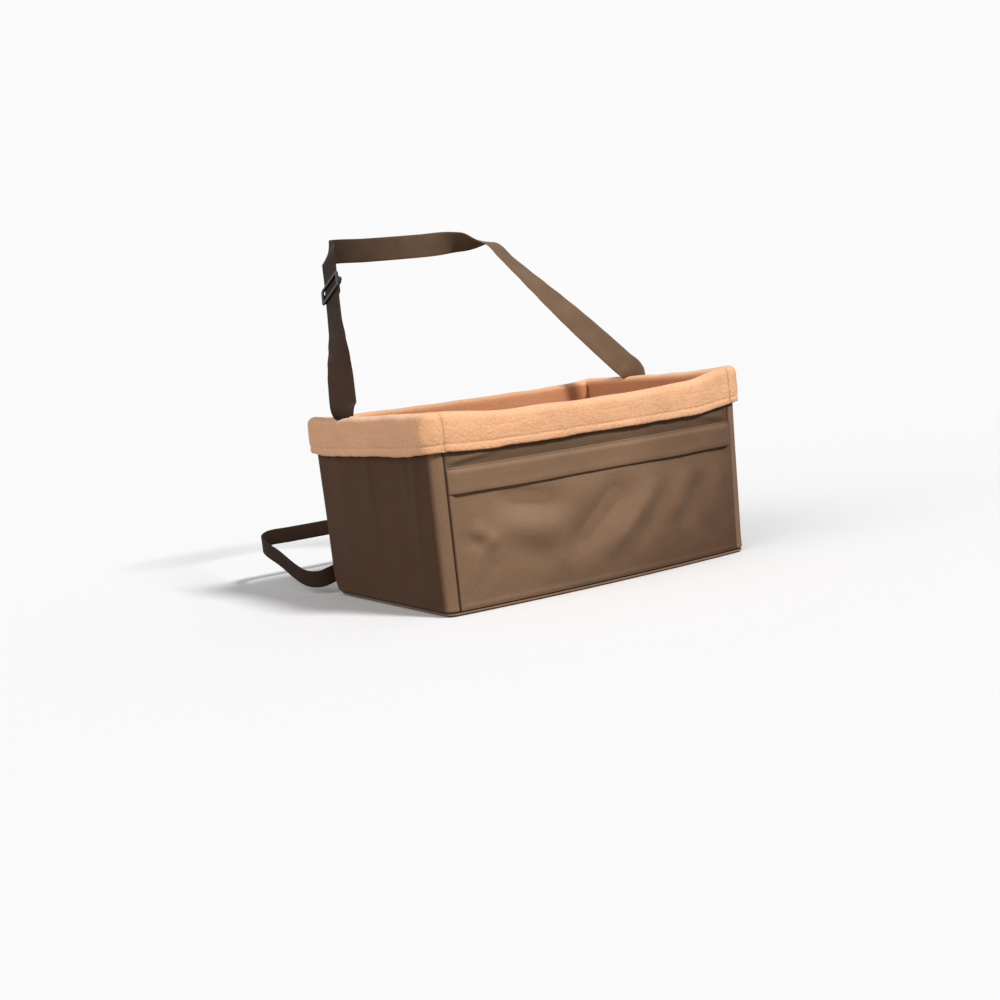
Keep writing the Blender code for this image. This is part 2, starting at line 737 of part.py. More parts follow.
def make_hook_and_loop():
    """Loop patches sewn on the shell and hook patches on the cuff, facing each other."""
    tapes = {
        "loop_patch_": (CLEARANCE, CLEARANCE + HOOK_TAPE),
        "hook_patch_": (2 * CLEARANCE + HOOK_TAPE, 2 * CLEARANCE + 2 * HOOK_TAPE),
    }
    half = HOOK_PATCH_LENGTH / 2
    low_z = HOOK_PATCH_CENTRE_HEIGHT - HOOK_PATCH_HEIGHT / 2
    high_z = HOOK_PATCH_CENTRE_HEIGHT + HOOK_PATCH_HEIGHT / 2
    for prefix, (first, last) in tapes.items():
        for name, axis, sign, spot in patch_spots():
            wall = HALF_LENGTH if axis == "x" else HALF_DEPTH
            near, far = sorted((sign * (wall + first), sign * (wall + last)))
            if axis == "x":
                bm = box_mesh((near, spot - half, low_z), (far, spot + half, high_z))
            else:
                bm = box_mesh((spot - half, near, low_z), (spot + half, far, high_z))
            hang_piece(bm)
            add_piece(prefix + name, bm, "hook_tape", smooth=False)


def front_sheet(name, kind, columns, rows, place, thickness):
    """A cloth sheet in front of the basket: place(u, v) gives its inner face."""
    bm = bmesh.new()
    grid = [[bm.verts.new(hang(place(column / columns, row / rows)))
             for column in range(columns + 1)] for row in range(rows + 1)]
    for lower, upper in zip(grid, grid[1:]):
        for column in range(columns):
            bm.faces.new((lower[column], lower[column + 1], upper[column + 1], upper[column]))
    mesh = bpy.data.meshes.new(name)
    bm.to_mesh(mesh)
    bm.free()
    mesh.shade_smooth()
    mesh.materials.append(finish_material(name, kind))
    piece = bpy.data.objects.new(name, mesh)
    parts.objects.link(piece)
    solid = piece.modifiers.new("thickness", 'SOLIDIFY')
    solid.thickness = thickness
    solid.offset = 1.0
    return piece


def fold_rise(u, v):
    """How far the pocket's soft folds stand out at a place, as a share of its bulge."""
    aspect = POCKET_TOP / (2 * SEAM_X)
    place = Vector((u, v * aspect))
    rise = 0.0
    for start, end, height, width in POCKET_FOLD_SHARES:
        first = Vector((start[0], start[1] * aspect))
        along = Vector((end[0], end[1] * aspect)) - first
        reach = min(1.0, max(0.0, (place - first).dot(along) / along.length_squared))
        away = (place - first - along * reach).length / width
        rise += height * math.exp(-away * away)
    return rise


def make_pocket():
    """Pocket panel, which stands out in the middle, and the flap over its mouth."""
    half_x = SEAM_X - CLEARANCE
    foot = SEAM_HEIGHT + CLEARANCE

    def pocket_place(u, v):
        x = half_x * (2 * u - 1)
        fullness = max(0.0, (1.0 - (2 * u - 1) ** 2) * math.sin(math.pi * v))
        folded = fullness + math.sqrt(fullness) * fold_rise(u, v)
        out = CLEARANCE + POCKET_BULGE * max(0.0, folded)
        return Vector((x, -HALF_DEPTH - out, foot + (POCKET_TOP - foot) * v))

    front_sheet("pocket_panel", "fabric", 2 * STATIONS, STATIONS, pocket_place, POCKET_FABRIC)

    flap_half_x = half_x - FLAP_END_MARGIN
    drop = FLAP_SEAM_HEIGHT - FLAP_HEM_HEIGHT

    def flap_place(u, v):
        x = flap_half_x * (2 * u - 1)
        opened = min(1.0, 4 * (1.0 - v))
        out = CLEARANCE + (FLAP_STANDOFF - CLEARANCE) * math.sin(opened * math.pi / 2)
        return Vector((x, -HALF_DEPTH - out, FLAP_HEM_HEIGHT + drop * v))

    front_sheet("pocket_flap", "fabric", STATIONS, 8, flap_place, FLAP_FABRIC)


def zipper_band(name, kind, half_x, first, last, low_z, high_z):
    """A straight strip of the zipper between two distances outside the shell."""
    bm = box_mesh((-half_x, -HALF_DEPTH - last, low_z), (half_x, -HALF_DEPTH - first, high_z))
    hang_piece(bm)
    return add_piece(name, bm, kind, smooth=False)


def tooth_row(name, upward, first, last):
    """One row of teeth on its spine; the other row's teeth stand in its gaps."""
    count = round(ZIPPER_LENGTH / TOOTH_PITCH)
    start = -count * TOOTH_PITCH / 2
    side = 1 if upward else -1
    root = ZIPPER_LINE - side * (TOOTH_REACH + CLEARANCE)
    back = root - side * TOOTH_SPINE
    tip = ZIPPER_LINE + side * TOOTH_REACH
    width = TOOTH_PITCH / 2 - CLEARANCE
    shift = CLEARANCE / 2 if upward else CLEARANCE / 2 + TOOTH_PITCH / 2
    points = [(start, back), (start, root)]
    for index in range(count if upward else count - 1):
        left = start + index * TOOTH_PITCH + shift
        points += [(left, root), (left, tip), (left + width, tip), (left + width, root)]
    points += [(-start, root), (-start, back)]
    points += [(start + index * TOOTH_PITCH, back) for index in range(count - 1, 0, -1)]
    bm = bmesh.new()
    face = bm.faces.new([bm.verts.new((x, -HALF_DEPTH - first, z)) for x, z in points])
    spread = bmesh.ops.extrude_face_region(bm, geom=[face])
    moved = [item for item in spread["geom"] if isinstance(item, bmesh.types.BMVert)]
    bmesh.ops.translate(bm, vec=(0, first - last, 0), verts=moved)
    bmesh.ops.triangulate(bm, faces=bm.faces)
    hang_piece(bm, sliced=False)
    return add_piece(name, bm, "zipper", smooth=False)


def make_zipper():
    """Tapes, teeth, end stops, slider and pull, under the flap."""
    half_x = ZIPPER_LENGTH / 2
    tape_out = CLEARANCE + TAPE
    gap = TOOTH_REACH / 2
    zipper_band("zipper_upper_tape", "webbing", half_x, CLEARANCE, tape_out,
                ZIPPER_LINE + gap, ZIPPER_LINE + TAPE_HALF_WIDTH)
    zipper_band("zipper_lower_tape", "webbing", half_x, CLEARANCE, tape_out,
                POCKET_TOP + CLEARANCE, ZIPPER_LINE - gap)
    teeth_near = tape_out + CLEARANCE
    teeth_far = teeth_near + TOOTH_THICKNESS
    tooth_row("zipper_upper_teeth", False, teeth_near, teeth_far)
    tooth_row("zipper_lower_teeth", True, teeth_near, teeth_far)
    stop_length = SLIDER_LENGTH / 4
    stop_half = TOOTH_REACH + TOOTH_SPINE
    for name, sign in (("zipper_left_stop", -1), ("zipper_right_stop", 1)):
        ends = sorted((sign * (half_x + CLEARANCE), sign * (half_x + CLEARANCE + stop_length)))
        stop = box_mesh((ends[0], -HALF_DEPTH - teeth_far, ZIPPER_LINE - stop_half),
                        (ends[1], -HALF_DEPTH - CLEARANCE, ZIPPER_LINE + stop_half))
        hang_piece(stop)
        add_piece(name, stop, "steel", smooth=False)
    make_slider(teeth_near, teeth_far)


def make_slider(teeth_near, teeth_far):
    """Slider that rides over the teeth, and the pull that swings on its lug."""
    inner = teeth_far + CLEARANCE
    outer = inner + SLIDER_WALL
    half = SLIDER_LENGTH / 2
    face = -HALF_DEPTH
    x, z = SLIDER_PLACE, ZIPPER_LINE
    body = box_mesh((x - half, face - outer, z - SLIDER_HALF_WIDTH),
                    (x + half, face - teeth_near, z + SLIDER_HALF_WIDTH))
    hang_piece(body)
    slider = add_piece("zipper_slider", body, "steel", smooth=False)
    bevel(slider, SLIDER_WALL / 3)
    channel_half = SLIDER_HALF_WIDTH - SLIDER_WALL
    channel = box_mesh((x - SLIDER_LENGTH, face - inner, z - channel_half),
                       (x + SLIDER_LENGTH, face + CUT_OVERRUN, z + channel_half))
    hang_piece(channel)
    boolean(slider, add_cutter("slider_channel", channel))
    lug_half = LUG_LENGTH / 2
    lug = box_mesh((x - lug_half, face - outer - LUG_HEIGHT, z - lug_half),
                   (x + lug_half, face - outer + SLIDER_WALL / 2, z + lug_half))
    hang_piece(lug)
    boolean(slider, add_cutter("slider_lug", lug), 'UNION')
    pin_out = outer + LUG_HEIGHT / 2
    reach = lug_half + CLEARANCE + PULL_THICKNESS
    ends = [hang((x - reach, face - pin_out, z)), hang((x + reach, face - pin_out, z))]
    past = (ends[1] - ends[0]) * 0.5
    hole = rod_mesh(ends[0] - past, ends[1] + past, PULL_PIN_HOLE_RADIUS, 10)
    boolean(slider, add_cutter("slider_pin_hole", hole))
    pull = add_piece("zipper_pull", rod_mesh(ends[0], ends[1], PULL_PIN_RADIUS, 10), "steel")
    half_thick = PULL_THICKNESS / 2
    for sign in (-1, 1):
        near, far = sorted((x + sign * (lug_half + CLEARANCE), x + sign * reach))
        ear = box_mesh((near, face - pin_out - half_thick, z - lug_half - PULL_LENGTH / 5),
                       (far, face - pin_out + half_thick, z + half_thick))
        hang_piece(ear)
        boolean(pull, add_cutter(f"pull_ear_{sign}", ear), 'UNION')
    blade = box_mesh((x - PULL_WIDTH / 2, face - pin_out - half_thick, z - PULL_LENGTH),
                     (x + PULL_WIDTH / 2, face - pin_out + half_thick,
                      z - lug_half - CLEARANCE - PULL_THICKNESS))
    hang_piece(blade)
    boolean(pull, add_cutter("pull_blade", blade), 'UNION')


def make_support_webbing():
    """Inner webbing that carries the base: down one wall, under the base board, up the other."""
    inset = FABRIC + CLEARANCE + WEBBING / 2
    side_x = HALF_LENGTH - inset
    top = BOARD_TOP - CLEARANCE
    corners = [(-side_x, STRAP_FOOT_Y, top), (-side_x, STRAP_FOOT_Y, inset),
               (side_x, STRAP_FOOT_Y, inset), (side_x, STRAP_FOOT_Y, top)]
    path = [(hang(place), Vector((0, 1, 0))) for place in fillet_path(corners, 0.8 * WEBBING)]
    ribbon("support_webbing", path, STRAP_WIDTH, WEBBING)


def leg_frame(sign):
    """Start, end, direction and the two width directions of one leg of the strap."""
    start = Vector((sign * (HALF_LENGTH + CLEARANCE + WEBBING / 2), STRAP_FOOT_Y,
                    STRAP_EXIT_HEIGHT))
    end = Vector((sign * HEAD_GAP_X, HEAD_GAP_Y, HEAD_GAP_HEIGHT))
    along = (end - start).normalized()
    level = along.cross(Vector((0, 0, 1))).normalized()
    if level.x < 0:
        level = -level
    steep = along.cross(level)
    if steep.z < 0:
        steep = -steep
    return start, end, along, level, steep


def across_at(level, steep, angle):
    """Width direction of the webbing at this twist."""
    return level * math.cos(angle) + steep * math.sin(angle)


def ease(share):
    """Smooth step from 0 to 1."""
    share = min(1.0, max(0.0, share))
    return share * share * (3 - 2 * share)


def strap_keys():
    """The strap's (place, across) keys, from the left tab to the right tab."""
    start, end, along, level, steep = leg_frame(-1)
    tab_low = CUFF_HEM_HEIGHT + 2 * CLEARANCE
    tab_x = start.x
    lean = SIDE_DRAW_IN * (1.0 - tab_low / BASKET_HEIGHT)
    keys = [(Vector((tab_x + lean, STRAP_FOOT_Y, tab_low)), Vector((0, 1, 0))),
            (Vector((tab_x, STRAP_FOOT_Y, BASKET_HEIGHT - RIM_RISE)), Vector((0, 1, 0))),
            (start, Vector((0, 1, 0)))]
    length = (end - start).length
    fold = STRAP_WIDTH * 0.7
    stops = 9
    for step in range(stops):
        s = fold + (length - fold) * step / (stops - 1)
        twist = STRAP_TWIST_LEFT * ease((s - fold) / (STRAP_TWIST_END - fold))
        keys.append((start + along * s, -across_at(level, steep, twist)))
    down = Vector((0, 0, -1))
    bend = Vector((-(HEAD_GAP_X + POST_HALF_SPACING) / 2, (HEAD_GAP_Y + 3 * POST_BACK_Y) / 4,
                   POST_BACK_HEIGHT))
    keys.append((bend, down))
    keys.append((Vector((-POST_HALF_SPACING * 0.6, POST_BACK_Y, POST_BACK_HEIGHT)), down))
    keys.append((Vector((POST_HALF_SPACING * 0.6, POST_BACK_Y, POST_BACK_HEIGHT)), down))
    start, end, along, level, steep = leg_frame(1)
    keys.append((Vector((-bend.x, bend.y, bend.z)), (down + level * 0.8).normalized()))
    for step in range(stops):
        s = length - (length - fold) * step / (stops - 1)
        twist = STRAP_TWIST_RIGHT * ease(1.0 - (s - fold) / (length - fold))
        keys.append((start + along * s, across_at(level, steep, twist)))
    keys.append((start, Vector((0, -1, 0))))
    keys.append((Vector((-tab_x, STRAP_FOOT_Y, BASKET_HEIGHT - RIM_RISE)), Vector((0, -1, 0))))
    keys.append((Vector((-tab_x - lean, STRAP_FOOT_Y, tab_low)), Vector((0, -1, 0))))
    return keys


def make_head_strap():
    """The webbing from rim to rim, twisted as it hangs behind the posts."""
    ribbon("headrest_strap", smooth_path(strap_keys(), STRAP_POINT_SPACING), STRAP_WIDTH, WEBBING)


def adjuster_matrix():
    """Frame of the adjuster: X across the webbing, Y up along it, Z out of its face."""
    start, _, along, level, steep = leg_frame(-1)
    across = across_at(level, steep, STRAP_TWIST_LEFT)
    out = across.cross(along)
    place = start + along * ADJUSTER_PLACE
    return Matrix.Translation(place) @ Matrix((across, along, out)).transposed().to_4x4()


def make_adjuster():
    """Three-bar adjuster: outer bars above the webbing, centre bar below with its own tab."""
    frame = adjuster_matrix()
    above = WEBBING / 2 + CLEARANCE
    tab_outer = above + TAB_WEBBING + CLEARANCE
    bar_bottom = -tab_outer - ADJUSTER_THICKNESS * 0.6
    opening = STRAP_WIDTH / 2 + CLEARANCE * 2
    rail_half = ADJUSTER_WIDTH / 2
    outline_points = rounded_rectangle(rail_half, ADJUSTER_LENGTH / 2, ADJUSTER_CORNER)
    window_half = ADJUSTER_LENGTH / 2 - ADJUSTER_BAR
    window = rounded_rectangle(opening, window_half, ADJUSTER_CORNER / 4, 1)
    ring = flat_outline("strap_adjuster", outline_points, ADJUSTER_THICKNESS, (window,))
    lift = Matrix.Translation((0, 0, above + ADJUSTER_THICKNESS / 2))
    bmesh.ops.transform(ring, matrix=frame @ lift, verts=ring.verts)
    adjuster = add_piece("strap_adjuster", ring, "black_plastic", smooth=False)
    bar_half = ADJUSTER_CENTRE_BAR / 2
    rail_width = rail_half - opening
    drop = bmesh.new()
    add_box(drop, (-rail_half, -bar_half, bar_bottom), (rail_half, bar_half, -tab_outer))
    bmesh.ops.transform(drop, matrix=frame, verts=drop.verts)
    boolean(adjuster, add_cutter("adjuster_centre_bar", drop), 'UNION')
    for sign in (-1, 1):
        near, far = sorted((sign * (rail_half - rail_width), sign * (rail_half - rail_width / 4)))
        rail = box_mesh((near, -window_half / 2, bar_bottom + CLEARANCE / 2),
                        (far, window_half / 2, above + ADJUSTER_THICKNESS / 2))
        bmesh.ops.transform(rail, matrix=frame, verts=rail.verts)
        boolean(adjuster, add_cutter(f"adjuster_rail_{sign}", rail), 'UNION')
    make_adjuster_tab(frame, bar_half, above, tab_outer, bar_bottom)


def make_adjuster_tab(frame, bar_half, above, tab_outer, bar_bottom):
    """Webbing end sewn round the adjuster's centre bar, on the hidden face of the strap."""
    upper = -(above + TAB_WEBBING / 2)
    lower = bar_bottom - CLEARANCE - TAB_WEBBING / 2
    turn = bar_half + CLEARANCE + TAB_WEBBING / 2
    join = upper - TAB_WEBBING - CLEARANCE
    points = [(0, -TAB_LENGTH, upper), (0, turn, upper), (0, turn, lower),
              (0, -turn - CLEARANCE, lower), (0, -turn * 2, join), (0, -TAB_LENGTH * 0.8, join)]
    path = fillet_path(points, TAB_WEBBING)
    across = frame.to_3x3() @ Vector((1, 0, 0))
    placed = [(frame @ place, across) for place in path]
    ribbon("adjuster_tab", placed, STRAP_WIDTH - 4 * CLEARANCE, TAB_WEBBING, columns=1)


def rear_leg_keys(sign):
    """Rear strap from its tab on the rear panel, round the seatback's side."""
    tab_y = HALF_DEPTH + CLEARANCE + WEBBING / 2
    side_z = REAR_TAB_HEIGHT - REAR_WIDTH / 2
    reach = REAR_SIDE_X - HALF_LENGTH
    middle_y = (HALF_DEPTH + REAR_SIDE_Y) / 2
    places = [
        (REAR_TAB_INNER, tab_y, REAR_TAB_HEIGHT),
        (HALF_LENGTH - 2 * CORNER_RADIUS, tab_y, REAR_TAB_HEIGHT - WEBBING),
        (HALF_LENGTH - CORNER_RADIUS / 2, tab_y + WEBBING, (REAR_TAB_HEIGHT + side_z) / 2),
        (HALF_LENGTH + reach * 0.45, HALF_DEPTH + REAR_WIDTH * 0.55, side_z),
        (HALF_LENGTH + reach * 0.85, middle_y - REAR_WIDTH / 2, side_z + WEBBING),
        (REAR_SIDE_X, REAR_SIDE_Y, REAR_SIDE_HEIGHT),
    ]
    return [(Vector((sign * x, y, z)), Vector((0, 0, 1))) for x, y, z in places]


def make_rear_straps():
    """Left half threads the plug's ladder; right half is sewn round the socket's bar."""
    upright = Vector((0, 0, 1))
    bar = LADDER_THICKNESS / 2
    layer = bar + CLEARANCE + WEBBING / 2
    second = layer + WEBBING + CLEARANCE
    y, z = REAR_BACK_Y, REAR_BACK_HEIGHT
    bend = 2 * CORNER_RADIUS
    plug_back = -PLUG_LENGTH
    inner_slot = plug_back + LADDER_END_BAR + LADDER_SLOT + ladder_bar_width() + LADDER_SLOT / 2
    outer_slot = plug_back + LADDER_END_BAR + LADDER_SLOT / 2
    thread = [(-REAR_SIDE_X + bend * 2.5, y - second, z), (inner_slot, y - second, z),
              (inner_slot, y + layer, z), (outer_slot, y + layer, z), (outer_slot, y - layer, z),
              (plug_back - PLUG_LENGTH, y - layer, z)]
    threaded = [(place, upright) for place in fillet_path(thread, WEBBING + CLEARANCE * 1.7)]
    left = smooth_path([*rear_leg_keys(-1), *back_corner_keys(-1, y - second),
                        threaded[0]], REAR_POINT_SPACING)
    ribbon("rear_strap_left", left[:-1] + threaded, REAR_WIDTH, WEBBING, columns=1)
    slot = SOCKET_LENGTH - LADDER_END_BAR - LADDER_SLOT / 2
    loop = [(REAR_SIDE_X - bend * 2.5, y - layer, z), (slot, y - layer, z),
            (slot, y + layer, z), (slot + LADDER_SLOT * 2.2, y + layer, z),
            (slot + LADDER_SLOT * 4.5, y - layer + WEBBING + CLEARANCE * 1.5, z),
            (slot + SOCKET_LENGTH, y - layer + WEBBING + CLEARANCE * 1.5, z)]
    looped = [(place, upright) for place in fillet_path(loop, WEBBING + CLEARANCE * 1.7)]
    right = smooth_path([*rear_leg_keys(1), *back_corner_keys(1, y - layer), looped[0]],
                        REAR_POINT_SPACING)
    ribbon("rear_strap_right", right[:-1] + looped, REAR_WIDTH, WEBBING, columns=1)


def back_corner_keys(sign, back_y):
    """Keys that turn the rear strap round the seatback's rear corner."""
    bend = 2 * CORNER_RADIUS
    places = [
        (REAR_SIDE_X - CORNER_RADIUS / 3, back_y - bend, REAR_BACK_HEIGHT - CORNER_RADIUS / 2),
        (REAR_SIDE_X - bend, back_y - CORNER_RADIUS / 6, REAR_BACK_HEIGHT),
    ]
    return [(Vector((sign * x, y, z)), Vector((0, 0, 1))) for x, y, z in places]


def ladder_bar_width():
    """Width of the plug's middle bar, from what its length leaves."""
    return PLUG_LENGTH - PLUG_BODY - LADDER_END_BAR - 2 * LADDER_SLOT


def make_buckle():
    """Side-release buckle: socket with side windows, plug with ladder bars, two prongs."""
    y, z = REAR_BACK_Y, REAR_BACK_HEIGHT
    half_h = BUCKLE_HEIGHT / 2
    half_t = BUCKLE_THICKNESS / 2
    bar = LADDER_THICKNESS / 2
    slot_half = REAR_WIDTH / 2 + 2 * CLEARANCE
    mouth = CLEARANCE
    body_end = SOCKET_LENGTH - LADDER_END_BAR - LADDER_SLOT
    body = box_mesh((mouth, y - half_t, z - half_h), (body_end, y + half_t, z + half_h))
    socket = add_piece("buckle_socket", body, "black_plastic", smooth=False)
    bevel(socket, BUCKLE_WALL * 0.6, 2)
    heel = box_mesh((body_end - BUCKLE_WALL, y - bar, z - half_h * 0.96),
                    (SOCKET_LENGTH, y + bar, z + half_h * 0.96))
    boolean(socket, add_cutter("socket_heel", heel), 'UNION')
    cuts = {
        "socket_cavity": ((mouth - CUT_OVERRUN, y - half_t + BUCKLE_WALL, z - half_h + BUCKLE_WALL),
                          (SOCKET_CAVITY, y + half_t - BUCKLE_WALL, z + half_h - BUCKLE_WALL)),
        "socket_slot": ((body_end, y - CUT_OVERRUN, z - slot_half),
                        (body_end + LADDER_SLOT, y + CUT_OVERRUN, z + slot_half)),
        "socket_windows": ((SOCKET_CAVITY * 0.36, y - PRONG_THICKNESS / 2 - 2 * CLEARANCE,
                            z - half_h - CUT_OVERRUN),
                           (SOCKET_CAVITY * 0.90, y + PRONG_THICKNESS / 2 + 2 * CLEARANCE,
                            z + half_h + CUT_OVERRUN)),
    }
    for name, (low, high) in cuts.items():
        boolean(socket, add_cutter(name, box_mesh(low, high)))
    make_plug(y, z, half_h, half_t, bar, slot_half)
    for name, side in (("buckle_upper_prong", 1), ("buckle_lower_prong", -1)):
        make_prong(name, y, z, side)


def make_plug(y, z, half_h, half_t, bar, slot_half):
    """Plug body with ladder bars behind and a guide tongue in front."""
    body = box_mesh((-PLUG_BODY, y - half_t, z - half_h), (0, y + half_t, z + half_h))
    plug = add_piece("buckle_plug", body, "black_plastic", smooth=False)
    bevel(plug, BUCKLE_WALL * 0.6, 2)
    ladder = box_mesh((-PLUG_LENGTH, y - bar, z - half_h * 0.96),
                      (-PLUG_BODY + BUCKLE_WALL, y + bar, z + half_h * 0.96))
    boolean(plug, add_cutter("plug_ladder", ladder), 'UNION')
    tongue_half = BUCKLE_WALL * 1.4
    tongue = box_mesh((-BUCKLE_WALL, y - BUCKLE_WALL, z - tongue_half),
                      (SOCKET_CAVITY - BUCKLE_WALL, y + BUCKLE_WALL, z + tongue_half))
    boolean(plug, add_cutter("plug_tongue", tongue), 'UNION')
    outer = -PLUG_LENGTH + LADDER_END_BAR
    inner = outer + LADDER_SLOT + ladder_bar_width()
    for name, start in (("plug_outer_slot", outer), ("plug_inner_slot", inner)):
        slot = box_mesh((start, y - CUT_OVERRUN, z - slot_half),
                        (start + LADDER_SLOT, y + CUT_OVERRUN, z + slot_half))
        boolean(plug, add_cutter(name, slot))
    recess = PRONG_THICKNESS / 2 + CLEARANCE
    for side in (-1, 1):
        centre = z + side * PRONG_PLACE
        seat = PRONG_ROOT_RADIUS + CLEARANCE
        rod = rod_mesh((0, y - recess, centre), (0, y + recess, centre), seat, 20)
        boolean(plug, add_cutter(f"plug_recess_{side}", rod))


def make_prong(name, y, z, side):
    """Latch prong: round root, springy arm and a head that snaps into the window."""
    along = PRONG_LENGTH
    arm = PRONG_ROOT_RADIUS
    head_shares = (
        (0.30, -0.55), (0.62, -0.40), (0.88, -0.30), (0.97, 0.0), (0.90, 1.30),
        (0.62, 3.30), (0.44, 3.30), (0.40, 0.85), (0.22, 0.75),
    )
    points = [(along * a, arm * b) for a, b in head_shares]
    for step in range(1, 8):
        angle = math.radians(60 + 240 * (step - 1) / 6)
        points.append((arm * math.cos(angle), arm * math.sin(angle)))
    placed = [(x, z + side * (PRONG_PLACE + across)) for x, across in points]
    bm = flat_outline(name, placed, PRONG_THICKNESS)
    stand_up(bm, y)
    prong = add_piece(name, bm, "black_plastic", smooth=False)
    bevel(prong, CLEARANCE)


def make_tether_anchor():
    """Tab sewn to the liner's rear wall, and the D-ring that swings in it."""
    wall_y = HALF_DEPTH - LINER_INSET - FLEECE - CLEARANCE
    turn = RING_WIRE / 2 + CLEARANCE + TETHER_WEBBING / 2
    back_y = wall_y - TETHER_WEBBING / 2
    bar_y = back_y - turn
    front_y = bar_y - turn
    sewn_y = back_y - TETHER_WEBBING - CLEARANCE
    x, z = TETHER_PLACE, TETHER_BAR_HEIGHT
    points = [(x, back_y, TETHER_TAB_TOP), (x, back_y, z - turn), (x, front_y, z - turn),
              (x, front_y, z + turn), (x, sewn_y, z + 2.5 * turn),
              (x, sewn_y, TETHER_TAB_TOP - TETHER_WEBBING)]
    path = [(place, Vector((1, 0, 0))) for place in fillet_path(points, turn * 0.95)]
    ribbon("tether_tab", path, TETHER_TAB_WIDTH, TETHER_WEBBING, columns=1)
    curve = bpy.data.curves.new("tether_ring", 'CURVE')
    curve.dimensions = '3D'
    curve.bevel_depth = RING_WIRE / 2
    curve.bevel_resolution = 2
    steps = 10
    ring = [(x - RING_HALF_WIDTH, z), (x + RING_HALF_WIDTH, z)]
    for step in range(steps + 1):
        angle = -math.pi * step / steps
        ring.append((x + RING_HALF_WIDTH * math.cos(angle),
                     z - RING_DROP / 6 + (RING_DROP * 5 / 6) * math.sin(angle)))
    spline = curve.splines.new('POLY')
    spline.points.add(len(ring) - 1)
    for point, (across, height) in zip(spline.points, ring):
        point.co = (across, bar_y, height, 1.0)
    spline.use_cyclic_u = True
    holder = bpy.data.objects.new("tether_ring_curve", curve)
    cutters.objects.link(holder)
    bpy.context.view_layer.update()
    bm = mesh_of(holder)
    bpy.data.objects.remove(holder, do_unlink=True)
    add_piece("tether_ring", bm, "steel")


make_shell_panels()
make_boards()
make_base_padding()
make_rim_wire()
make_liner_walls()
make_hook_and_loop()
make_pocket()
make_zipper()
make_support_webbing()
make_head_strap()
make_adjuster()
make_rear_straps()
make_buckle()
make_tether_anchor()
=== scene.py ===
"""Looks of the fabric booster basket: cloth, fleece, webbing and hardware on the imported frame.

Metres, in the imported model's frame. Every cloth piece is drawn as a square basket first and
then hung by hang(), which is the part's own lean, bow and sag.
"""
import math

import bmesh
import bpy
from mathutils import Matrix, Vector, noise


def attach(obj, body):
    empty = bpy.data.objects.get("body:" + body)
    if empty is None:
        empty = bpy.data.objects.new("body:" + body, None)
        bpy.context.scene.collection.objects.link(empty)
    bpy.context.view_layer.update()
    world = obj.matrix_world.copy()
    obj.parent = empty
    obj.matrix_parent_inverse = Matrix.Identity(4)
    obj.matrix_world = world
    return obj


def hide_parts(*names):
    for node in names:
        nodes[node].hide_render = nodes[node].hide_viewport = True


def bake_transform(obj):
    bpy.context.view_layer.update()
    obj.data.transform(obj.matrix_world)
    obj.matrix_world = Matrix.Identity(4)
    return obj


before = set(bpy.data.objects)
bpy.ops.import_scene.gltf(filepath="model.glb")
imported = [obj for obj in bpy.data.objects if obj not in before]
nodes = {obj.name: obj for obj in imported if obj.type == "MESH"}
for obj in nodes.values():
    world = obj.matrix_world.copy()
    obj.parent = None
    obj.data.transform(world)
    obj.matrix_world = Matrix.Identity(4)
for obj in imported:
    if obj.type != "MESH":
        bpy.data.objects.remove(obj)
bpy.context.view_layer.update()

# Basket, as packed
BASKET_LENGTH = 0.500
BASKET_DEPTH = 0.368
BASKET_HEIGHT = 0.255
CORNER_RADIUS = 0.012
FRONT_BASE_RADIUS = 0.004
SIDE_BASE_RADIUS = 0.010
REAR_BASE_RADIUS = 0.030
SIDE_DRAW_IN = 0.0025
FRONT_DRAW_IN = 0.012
FRONT_BOW = 0.014
RIM_SAG = 0.007
SAG_START_HEIGHT = 0.198
CLEARANCE = 0.0003
LINER_INSET = 0.0084
FLEECE = 0.004
CUFF_STANDOFF = 0.0039
SEAM_HEIGHT = 0.0045
SEAM_X = 0.232
CUFF_HEM_HEIGHT = 0.211
RIM_RISE = 0.004
BASE_BOARD_TOP = 0.0081
PAD_TOP = 0.0234
FLOOR_TOP = 0.0280
PAD_CROWN = 0.006
SLAB_COLUMNS = 96
SLAB_ROWS = 64
POCKET_TOP = 0.166
POCKET_BULGE = 0.012
FLAP_SEAM_HEIGHT = 0.192
FLAP_HEM_HEIGHT = 0.157
FLAP_STANDOFF = 0.0062
FLAP_END_MARGIN = 0.0015
CLOTH = 0.0011
SEAM_GAP = 0.0016
SIDE_CLOTH_WIDTH = 0.390
# Painted shade over the middle of each side panel
SIDE_PAINTED_SHADE = (0.36, 0.26, 0.18)
HALF_LENGTH = BASKET_LENGTH / 2
HALF_DEPTH = BASKET_DEPTH / 2
BOW_RADIUS = (HALF_LENGTH ** 2 + FRONT_BOW ** 2) / (2 * FRONT_BOW)

# Webbing
STRAP_WIDTH = 0.038
WEBBING = 0.0015
STRAP_FOOT_Y = 0.057
STRAP_EXIT_HEIGHT = 0.268
HEAD_GAP_X = 0.146
HEAD_GAP_Y = 0.272
HEAD_GAP_HEIGHT = 0.505
POST_BACK_Y = 0.336
POST_BACK_HEIGHT = 0.515
POST_HALF_SPACING = 0.085
STRAP_TWIST_END = 0.195
STRAP_TWIST_LEFT = math.radians(55.0)
STRAP_TWIST_RIGHT = math.radians(60.0)
ADJUSTER_PLACE = 0.262
TAB_LENGTH = 0.028
REAR_WIDTH = 0.025
REAR_TAB_HEIGHT = 0.037
REAR_TAB_INNER = 0.190
REAR_SIDE_X = 0.275
REAR_SIDE_Y = 0.320
REAR_SIDE_HEIGHT = 0.050
REAR_BACK_Y = 0.426
REAR_BACK_HEIGHT = 0.072
REAR_STITCH_LENGTH = 0.020
